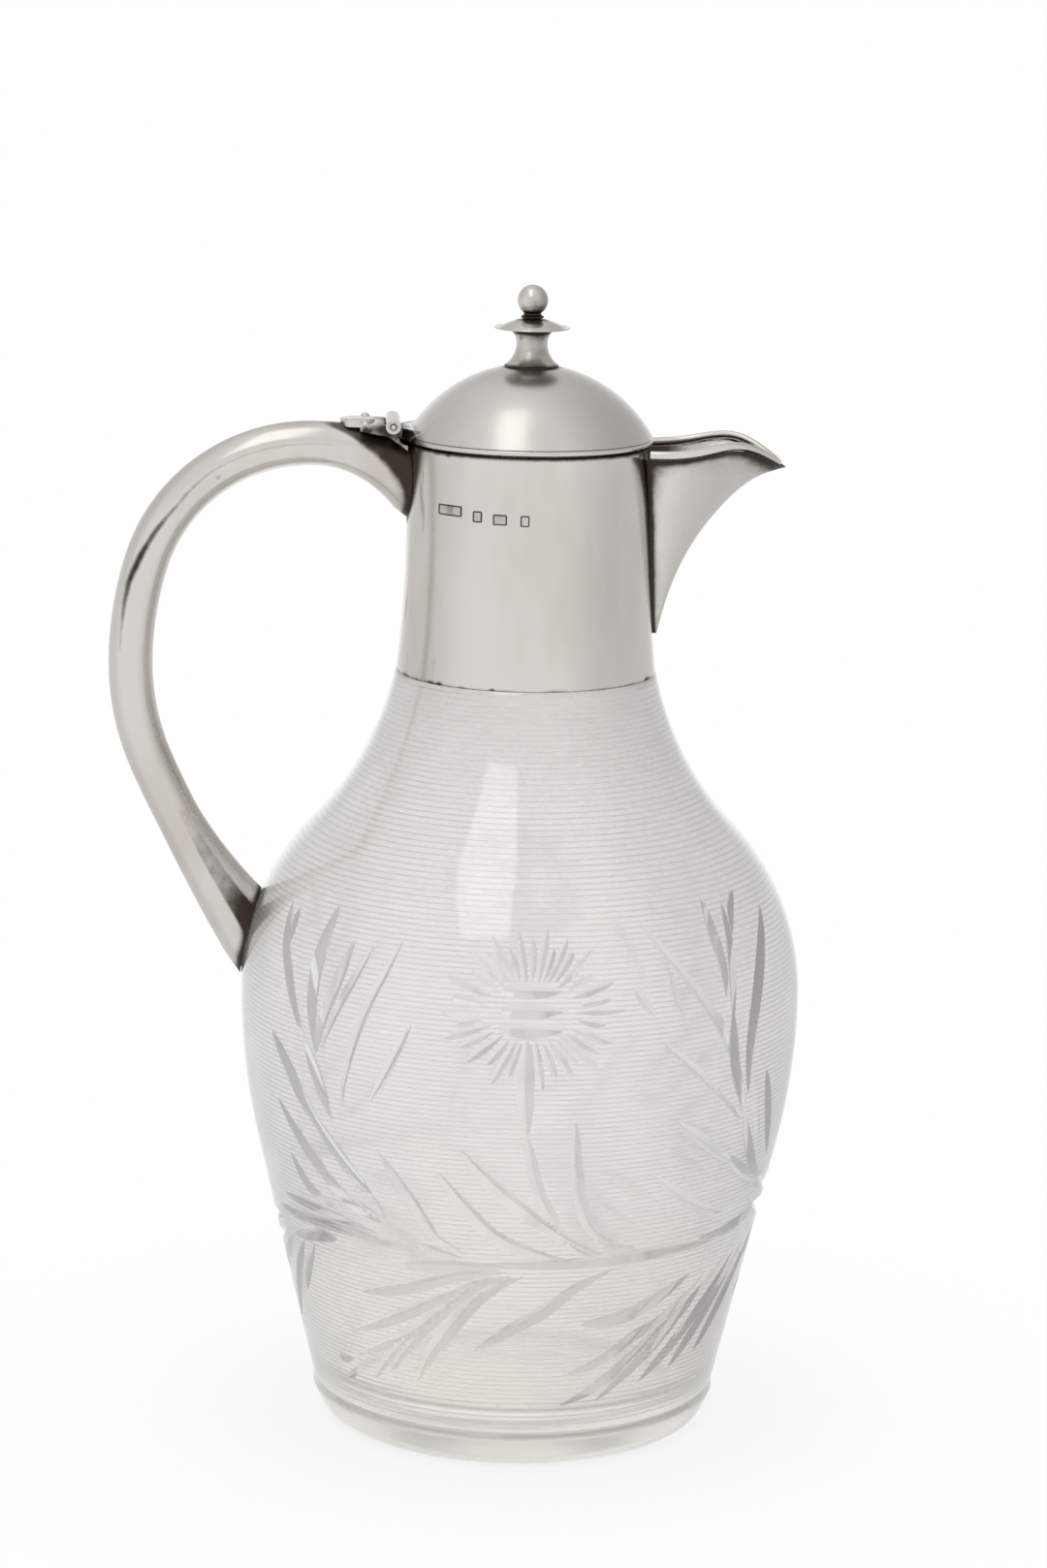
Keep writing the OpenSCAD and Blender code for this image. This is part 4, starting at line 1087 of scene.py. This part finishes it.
class CLARET_OT_handle(bpy.types.Operator):
    """Build the hollow handle between the collar and the glass"""
    bl_idname = "claret.handle"
    bl_label = "Handle"

    def execute(self, context):
        nu, nv = 96, 220
        grids = [handle_grid(t, nu, nv) for t in (0.0, 1.0)]
        verts = np.vstack(grids)
        r = np.hypot(verts[:, 0], verts[:, 1])
        to_collar = np.maximum(r - COLLAR_R, 0)
        to_glass = np.where(verts[:, 2] < 150, r - glass_r(np.clip(verts[:, 2], CUT_FROM, CUT_TO)), 99)
        spine = handle_spine()[0]
        near = np.array([np.argmin((spine[:, 0] - q[0]) ** 2 + (spine[:, 1] - q[2]) ** 2) for q in verts])
        k = np.radians(spine[near, 2])
        off = (spine[near, 0] - verts[:, 0]) * np.sin(k) + (verts[:, 2] - spine[near, 1]) * np.cos(k)
        front, z = verts[:, 1] < 0, verts[:, 2]
        # painted shadow of the hinge plate on the tube, with brown tarnish under it
        x = verts[:, 0]
        edge = np.interp(x, (-47, -41.5, -32.5, -29), (5.0, 3.7, 0.6, -0.6))
        fade = np.interp(x, (-47, -41.5, -32.5, -29), (0.5, 0.9, 2.1, 3.0))
        plate_shadow_and_tarnish = bell(np.maximum(edge - off, 0), fade) * np.clip((x + 50) / 5, 0, 1)
        # line along the seam of its two halves, darkest on the upper bend
        seam_off = np.interp(z, (176, 198, 207, 216, 224, 231), (2.2, 2.6, 1.3, 0.2, 0.8, 0.4))
        bend = bell(z - 203, 13) * (verts[:, 0] < -60)
        stretch = front * np.clip((z - 176) / 8, 0, 1) * np.clip((-38 - x) / 8, 0, 1)
        seam = stretch * (0.5 + 0.5 * bend) * bell(off - seam_off, 0.5 + 0.6 * bend)
        # painted dark reflection in a stripe along the underside towards the glass
        low = np.clip((154 - z) / 34, 0, 1)
        beside = np.maximum(np.abs(off + 1.4 + 1.4 * low) - 2.2 * low, 0)
        under = front * np.sqrt(low) * 0.68 * bell(beside, 0.5)
        soil = (z > 200) * (0.9 * bell(to_collar, 1.2) + 0.4 * bell(to_collar, 6.0)) + 0.8 * plate_shadow_and_tarnish
        # under here is the painted dark reflection on the underside
        soil += 0.9 * seam + under + 0.85 * bell(to_glass, 1.3) + 0.4 * bell(to_glass, 6.0)
        soil += 0.9 * bell(np.hypot(verts[:, 0] + 71.1, z - 222.7), 0.5) * front
        mat = silver("SilverHandle", 0.45)
        obj = new_object("handle_body", verts, sheet_faces(nu, nv, True), [mat], soil)
        sharpen(obj, 60)
        place_piece(obj, "jug", "silver", "handle_tube")
        return {"FINISHED"}


def softened(node, name, mat, width, body, soil):
    """A copy of a solid with its edges rounded."""
    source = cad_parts[node]
    mesh = source.data.copy()
    obj = bpy.data.objects.new(name, mesh)
    obj.matrix_world = source.matrix_world
    link(obj)
    mesh.materials.clear()
    mesh.materials.append(mat)
    merge = obj.modifiers.new("merge", "WELD")
    merge.merge_threshold = 0.000005
    flat = obj.modifiers.new("flat", "DECIMATE")
    flat.decimate_type = "DISSOLVE"
    flat.angle_limit = math.radians(2)
    edge = obj.modifiers.new("edge", "BEVEL")
    edge.width = width
    edge.segments = 3
    edge.limit_method = "ANGLE"
    edge.angle_limit = math.radians(28)
    obj = baked(obj)
    obj.data.polygons.foreach_set("use_smooth", [True] * len(obj.data.polygons))
    sharpen(obj, 24)
    set_mask(obj.data, "soil", "POINT", soil(points_of(obj.data)))
    place_piece(obj, body, "silver", node)


class CLARET_OT_hinge(bpy.types.Operator):
    """Build the hinge: plate, leaf, knuckles and the pin's heads"""
    bl_idname = "claret.hinge"
    bl_label = "Hinge"

    def execute(self, context):
        def handled(t):
            """Dirt that collects all over the small faces of the hinge."""
            return t.ramp(t.noise(t.place(), 300.0, 3.0, 0.5), 0.4, 0.75, 0.05, 0.4), None

        mat = silver("SilverHinge", 0.5, -0.04, handled)

        def crevice(v):
            """Tarnish beside the knuckles, painted shade on the underside of the plate, and a little tarnish all
            over.
            """
            away = np.hypot(v[:, 0] + HINGE_X, v[:, 2] - HINGE_Z)
            low = np.interp(v[:, 0], (-56, -43, -37.1, -32.4, -29, -26),
                            (234.2, 234.4, 234.3, 233.2, 231.5, 231.4))
            return 0.8 * bell(away - KNUCKLE_R - 0.15, 0.3) + 0.45 * (v[:, 2] < low) + 0.12

        softened("hinge_plate", "hinge_fixed_plate", mat, 0.00022, "jug", crevice)
        softened("hinge_leaf_lid", "hinge_lid_leaf", mat, 0.0002, "lid", crevice)

        def build(t, start):
            given = start.outputs
            ring = t.made("GeometryNodeCurvePrimitiveCircle", {"Resolution": 48, "Radius": given["Middle Radius"]})
            profile = rounded_box(t, given["Wall"], given["Length"], 0.00012, 3)
            tube = t.made("GeometryNodeCurveToMesh", {"Curve": ring, "Profile Curve": profile})
            return finish_nodes(t, t.made("GeometryNodeInstanceOnPoints", {
                "Points": given["Geometry"], "Instance": tube, "Rotation": (math.pi / 2, 0, 0)}), mat)

        inner = PIN_R + 0.04
        for name, ks, body, nodes in (
                ("knuckles_fixed", (0, 2, 4), "jug",
                 ("knuckle_fixed_near", "knuckle_fixed_mid", "knuckle_fixed_far")),
                ("knuckles_lid", (1, 3), "lid", ("knuckle_lid_near", "knuckle_lid_far"))):
            along = [-HINGE_W / 2 + k * (KNUCKLE_L + KNUCKLE_GAP) + KNUCKLE_L / 2 for k in ks]
            obj = path_object(name, [(-HINGE_X * MM, y * MM, HINGE_Z * MM) for y in along])
            nodes_modifier(obj, build, {"Middle Radius": (KNUCKLE_R + inner) / 2 * MM,
                                        "Wall": (KNUCKLE_R - inner) * MM, "Length": KNUCKLE_L * MM})
            obj = baked(obj)
            sharpen(obj, 50)
            place_piece(obj, body, "silver", *nodes)
        # the peened head: a flat button with a ring struck into it
        head = [(0, 0), (1.1, 0), (1.1, 0.2), (1.05, 0.32), (0.92, 0.4), (0.78, 0.4), (0.72, 0.3), (0.62, 0.3),
                (0.56, 0.4), (0.3, 0.43), (0, 0.44)]

        def head_soil(v):
            return 0.95 * bell(np.hypot(v[:, 0], v[:, 1]) - 0.68, 0.12) + 0.9 * bell(v[:, 2], 0.22)

        for name, node, way in (("pin_end_near", "pin_head_near", -1), ("pin_end_far", "pin_head_far", 1)):
            obj = turned(name, head, mat, 64, head_soil, 30)
            obj.data.transform(Matrix.Translation((-HINGE_X * MM, way * HINGE_W / 2 * MM, HINGE_Z * MM))
                               @ Matrix.Rotation(-way * math.pi / 2, 4, "X"))
            obj.data.update()
            place_piece(obj, "jug", "silver", node)
        repaint("hinge_pin", mat)
        return {"FINISHED"}


class CLARET_OT_lid(bpy.types.Operator):
    """Build the lid's dome, rim and inner flange"""
    bl_idname = "claret.lid"
    bl_label = "Lid"

    def execute(self, context):
        mat = silver("SilverLid", 0.25, 0.06)
        base_a = math.degrees(math.asin((DOME_BASE - DOME_C) / DOME_R))
        hole = 1.1
        out = arc((0, DOME_C), DOME_R, base_a, math.degrees(math.acos(hole / DOME_R)), 70)
        low_in = math.degrees(math.asin((DOME_BASE - DOME_C) / (DOME_R - DOME_T)))
        inn = arc((0, DOME_C), DOME_R - DOME_T, math.degrees(math.acos(hole / (DOME_R - DOME_T))), low_in, 40)

        def dome_soil(v):
            r = np.hypot(v[:, 0], v[:, 1])
            inside = np.linalg.norm(v - [0, 0, DOME_C], axis=1) < DOME_R - 0.3
            stem = 0.6 * bell(r - 6.5, 0.8) * (v[:, 2] > 240)
            return stem + 0.3 * bell(v[:, 2] - DOME_BASE, 0.5) + 0.2 * inside

        dome = turned("lid_dome_shell", np.vstack([out, inn]), mat, 256, dome_soil)
        place_piece(dome, "lid", "silver", "lid_dome")
        bezel_r = COLLAR_R - COLLAR_T - 0.65
        edge = 0.75
        lip = arc((LID_R + 0.1 - edge, LID_UNDER + edge), edge, -80, 80, 10)
        bezel_in = bezel_r - 0.9
        ring = [(bezel_in, LID_UNDER), (LID_R - 1.2, LID_UNDER)] + lip.tolist() + [(bezel_in, DOME_BASE)]
        # painted shadow on the rim's underside, in the gap over the collar
        rim = turned("lid_rim_ring", ring, mat, 256, lambda v: 0.98 * bell(v[:, 2] - LID_UNDER, 0.32))
        place_piece(rim, "lid", "silver", "lid_rim")
        bezel = [(bezel_in, LID_UNDER - 2.5), (bezel_r - 0.15, LID_UNDER - 2.5), (bezel_r, LID_UNDER - 2.3),
                 (bezel_r, LID_UNDER), (bezel_in, LID_UNDER)]
        flange = turned("lid_flange", bezel, mat, 192, lambda v: np.full(len(v), 0.35))
        place_piece(flange, "lid", "silver", "lid_bezel")
        return {"FINISHED"}


class CLARET_OT_finial(bpy.types.Operator):
    """Turn the finial: stem, saucer and ball"""
    bl_idname = "claret.finial"
    bl_label = "Finial"

    def execute(self, context):
        mat = silver("SilverFinial", 0.5, -0.02)
        bore = 1.04
        stem_r, foot_r = 3.3, 6.2
        foot_z = DOME_C + math.sqrt(DOME_R ** 2 - foot_r ** 2)
        saucer_z = foot_z + 8.3
        saucer_top = saucer_z + 2.8
        ball_z = saucer_top + 4.1

        def seat(r):
            """Height of the dome's outer face at this radius."""
            return DOME_C + math.sqrt((DOME_R + 0.04) ** 2 - r * r)

        def stem_tarnish_and_reflection(v):
            ends = 0.85 * bell(v[:, 2] - foot_z - 0.1, 0.5) + 0.9 * bell(v[:, 2] - saucer_z, 0.7)
            # ends are tarnish at the joints and 0.34 is tarnish all over; the band near x = 1.2 mm is a painted
            # dark reflection down the stem
            return ends + 0.34 + 0.22 * bell(v[:, 0] - 1.2, 1.8)

        def saucer_soil(v):
            middle = 0.55 * bell(np.hypot(v[:, 0], v[:, 1]) - 2.8, 1.2)
            return middle + 0.45 * (v[:, 2] < saucer_z + 0.45) + 0.2

        def ball_tarnish_and_shade(v):
            """Dark rings of the neck, tarnish all over the ball, and painted shade that darkens it below and
            towards +x and lightens its upper side towards -x.
            """
            neck = 0.85 * bell(v[:, 2] - saucer_top - 0.95, 0.5) + 0.8 * bell(v[:, 2] - saucer_top, 0.25)
            return neck + 0.42 + 0.4 * np.clip((0.6 * v[:, 0] - v[:, 2] + ball_z) / 4, -0.6, 1)

        trumpet = [(bore, seat(bore)), (3.5, seat(3.5)), (foot_r, seat(foot_r))]
        for t in np.linspace(0, 1, 34):
            trumpet.append((stem_r + (foot_r - stem_r) * (1 - t) ** 3.2 + 1.4 * t ** 5,
                            foot_z + 0.35 + (saucer_z - 0.39 - foot_z) * t))
        trumpet.append((bore, saucer_z - 0.04))
        stem = turned("finial_trumpet", trumpet, mat, 128, stem_tarnish_and_reflection)
        place_piece(stem, "lid", "silver", "finial_stem")
        dish_r = (8.7 ** 2 + 2.8 ** 2) / (2 * 2.8)
        half_a = math.degrees(math.asin(8.7 / dish_r))
        bore_a = math.degrees(math.asin(bore / dish_r))
        top = arc((0, saucer_top - dish_r), dish_r, 90 - half_a + 4.5, 90 - bore_a, 36)
        edge = [(4.9, 0), (8.3, 0.42), (8.62, 0.5), (8.7, 0.62), (8.62, 0.78)]
        dish = [(bore, saucer_z)] + [(r, saucer_z + z) for r, z in edge] + top.tolist()
        saucer = turned("finial_dish", dish, mat, 160, saucer_soil)
        place_piece(saucer, "lid", "silver", "finial_saucer")
        neck = [(bore, 0.04), (2.45, 0.04), (2.62, 0.22), (2.6, 0.42), (2.3, 0.62), (2.0, 0.8), (1.98, 1.1),
                (2.08, 1.28)]
        ball = arc((0, ball_z), 3.5, -52, 90, 40)
        ball[-1, 0] = 0.0
        outline = [(r, saucer_top + z) for r, z in neck] + ball.tolist()
        outline += [(0.0, ball_z + 0.02), (bore, ball_z)]
        knob = turned("finial_knob", outline, mat, 128, ball_tarnish_and_shade)
        place_piece(knob, "lid", "silver", "finial_ball")
        for node in ("finial_stud", "finial_washer", "finial_nut"):
            repaint(node, mat)
        return {"FINISHED"}


# ---- Studio ----
def room_group():
    """What the silver mirrors and the glass bends, for a direction from the jug."""
    name = "RoomLevels"
    if name in bpy.data.node_groups:
        return bpy.data.node_groups[name]
    value = "NodeSocketFloat"
    t, start, end = new_group(name, [("Direction", "NodeSocketVector", (0.0, 0.0, 1.0))],
                              [("Mirrored", value), ("Refracted", value)])
    unit = t.made("ShaderNodeVectorMath", {0: start.outputs["Direction"]}, operation="NORMALIZE")
    x, y, z = t.split(unit)
    right = t.ramp(t.add(t.mul(x, 0.87), t.mul(y, 0.5)), -0.1, 0.95)
    left = t.ramp(t.add(t.mul(x, -0.8), t.mul(y, 0.6)), 0.3, 0.95)
    high = t.ramp(z, -0.05, 0.15, 0.22, 0.38)
    level = t.sub(0.97, t.mul(right, high))
    level = t.sub(level, t.ramp(z, 0.1, 0.5, 0.0, 0.1))
    level = t.sub(level, t.mul(left, t.ramp(z, -0.1, 0.1, 0.1, 0.22)))
    behind = t.mul(t.ramp(y, 0.85, 0.98), t.ramp(z, 0.4, 0.1, 0.0, 0.3))
    t.put(end, "Mirrored", t.add(level, behind))
    bent = t.sub(1.0, t.mul(t.ramp(x, 0.05, 0.36), 0.2))
    t.put(end, "Refracted", t.sub(bent, t.ramp(z, -0.1, -0.5, 0.0, 0.03)))
    return t.tree


def seen_level(t, direction, path, matt):
    """Brightness for each kind of ray: white for the camera, matt for diffuse light."""
    room = t.node("ShaderNodeGroup", node_tree=room_group())
    t.put(room, "Direction", direction)
    level = matt
    for kind, value in (("Is Glossy Ray", room.outputs["Mirrored"]),
                        ("Is Transmission Ray", room.outputs["Refracted"]), ("Is Camera Ray", 1.0)):
        level = t.made("ShaderNodeMix", {0: path.outputs[kind], 2: level, 3: value}, data_type="FLOAT")
    return level


class CLARET_OT_studio(bpy.types.Operator):
    """Set up the floor, the light and the camera"""
    bl_idname = "claret.studio"
    bl_label = "Studio"

    def execute(self, context):
        own = context.scene.claret_studio
        scene = context.scene
        size = 6.0
        mesh = bpy.data.meshes.new("studio_floor")
        corners = [(-size, -size, 0), (size, -size, 0), (size, size, 0), (-size, size, 0)]
        mesh.from_pydata(corners, [], [(0, 1, 2, 3)])
        floor = link(bpy.data.objects.new("studio_floor", mesh))
        m, t, shader = material("PalePaper")
        shader.inputs["Roughness"].default_value = 0.9
        t.put(shader, "Base Color", (*own.floor, 1))
        place = t.place()
        length = t.node("ShaderNodeVectorMath", operation="LENGTH")
        t.put(length, 0, place)
        path = t.node("ShaderNodeLightPath")
        away = t.ramp(length.outputs["Value"], 0.045, 0.17, 0.8, 1.0)
        plain = t.mul(path.outputs["Is Camera Ray"], away)
        bounced = t.math("MAXIMUM", path.outputs["Is Glossy Ray"], path.outputs["Is Transmission Ray"])
        shown = t.math("MAXIMUM", plain, bounced)
        level = seen_level(t, place, path, 1.0)
        glow = t.made("ShaderNodeEmission", {"Color": (1, 1, 1, 1), "Strength": level})
        blend = t.made("ShaderNodeMixShader", {0: shown, 1: shader.outputs[0], 2: glow})
        t.put(t.tree.nodes["Material Output"], "Surface", blend)
        mesh.materials.append(m)

        world = bpy.data.worlds.new("PaleRoom")
        world.use_nodes = True
        scene.world = world
        w = Tree(world.node_tree)
        path = w.node("ShaderNodeLightPath")
        way = w.node("ShaderNodeTexCoord").outputs["Generated"]
        w.put(w.tree.nodes["Background"], "Strength", seen_level(w, way, path, own.sky))
        w.tree.nodes["Background"].inputs["Color"].default_value = (1, 1, 1, 1)

        place, aim = Vector((-0.2955, -0.4857, 1.2247)), Vector((-0.2228, 0.0313, 0.2))
        light = bpy.data.lights.new("window", "AREA")
        light.shape = "RECTANGLE"
        light.size, light.size_y, light.energy = 0.45, 1.17, own.key
        lamp = link(bpy.data.objects.new("window", light))
        lamp.location = place
        lamp.rotation_euler = (aim - place).to_track_quat("-Z", "Y").to_euler()

        # the camera that was fitted to the photo: its focal length and height are in photo pixels
        turn, pitch, roll = math.radians(2.5), math.radians(11.567), math.radians(1.103)
        focal_px, photo_px = 4893.56, 1618.0
        ahead = Vector((math.sin(turn) * math.cos(pitch), math.cos(turn) * math.cos(pitch), -math.sin(pitch)))
        right = Vector((math.cos(turn), -math.sin(turn), 0))
        above = right.cross(ahead)
        cam_x = right * math.cos(roll) + above * math.sin(roll)
        cam_y = above * math.cos(roll) - right * math.sin(roll)
        data = bpy.data.cameras.new("photo_camera")
        data.sensor_fit = "VERTICAL"
        data.sensor_height = 36.0
        data.lens = data.sensor_height * focal_px / photo_px
        data.clip_start, data.clip_end = 0.05, 50.0
        camera = link(bpy.data.objects.new("photo_camera", data))
        axes = Matrix((cam_x, cam_y, -ahead)).transposed().to_4x4()
        camera.matrix_world = Matrix.Translation((-0.04705, -1.07770, 0.37207)) @ axes
        scene.camera = camera
        scene.view_settings.view_transform = "Standard"
        return {"FINISHED"}


class CLARET_PT_sidebar(bpy.types.Panel):
    """Lists the jug's steps and settings"""
    bl_label = "Claret jug"
    bl_idname = "CLARET_PT_sidebar"
    bl_space_type = "VIEW_3D"
    bl_region_type = "UI"
    bl_category = "Claret jug"

    def draw(self, context):
        for name in SETTINGS:
            settings = getattr(context.scene, name)
            column = self.layout.column(align=True)
            for key in settings.bl_rna.properties.keys():
                if key not in ("rna_type", "name"):
                    column.prop(settings, key)
        for operator in OPERATORS:
            self.layout.operator(operator.bl_idname)


SETTINGS = {"claret_glass": ClaretGlass, "claret_silver": ClaretSilver, "claret_studio": ClaretStudio}
OPERATORS = (CLARET_OT_studio, CLARET_OT_glass, CLARET_OT_collar, CLARET_OT_spout, CLARET_OT_lip,
             CLARET_OT_handle, CLARET_OT_hinge, CLARET_OT_lid, CLARET_OT_finial)


def register():
    for name, group in SETTINGS.items():
        bpy.utils.register_class(group)
        setattr(bpy.types.Scene, name, PointerProperty(type=group))
    for cls in (*OPERATORS, CLARET_PT_sidebar):
        bpy.utils.register_class(cls)


def unregister():
    for cls in (CLARET_PT_sidebar, *reversed(OPERATORS)):
        bpy.utils.unregister_class(cls)
    for name, group in reversed(SETTINGS.items()):
        delattr(bpy.types.Scene, name)
        bpy.utils.unregister_class(group)


def main():
    """Builds the jug and its studio."""
    register()
    bpy.ops.claret.studio()
    bpy.ops.claret.glass()
    bpy.ops.claret.collar()
    bpy.ops.claret.spout()
    bpy.ops.claret.lip()
    bpy.ops.claret.handle()
    bpy.ops.claret.hinge()
    bpy.ops.claret.lid()
    bpy.ops.claret.finial()


if __name__ == "__main__":
    main()
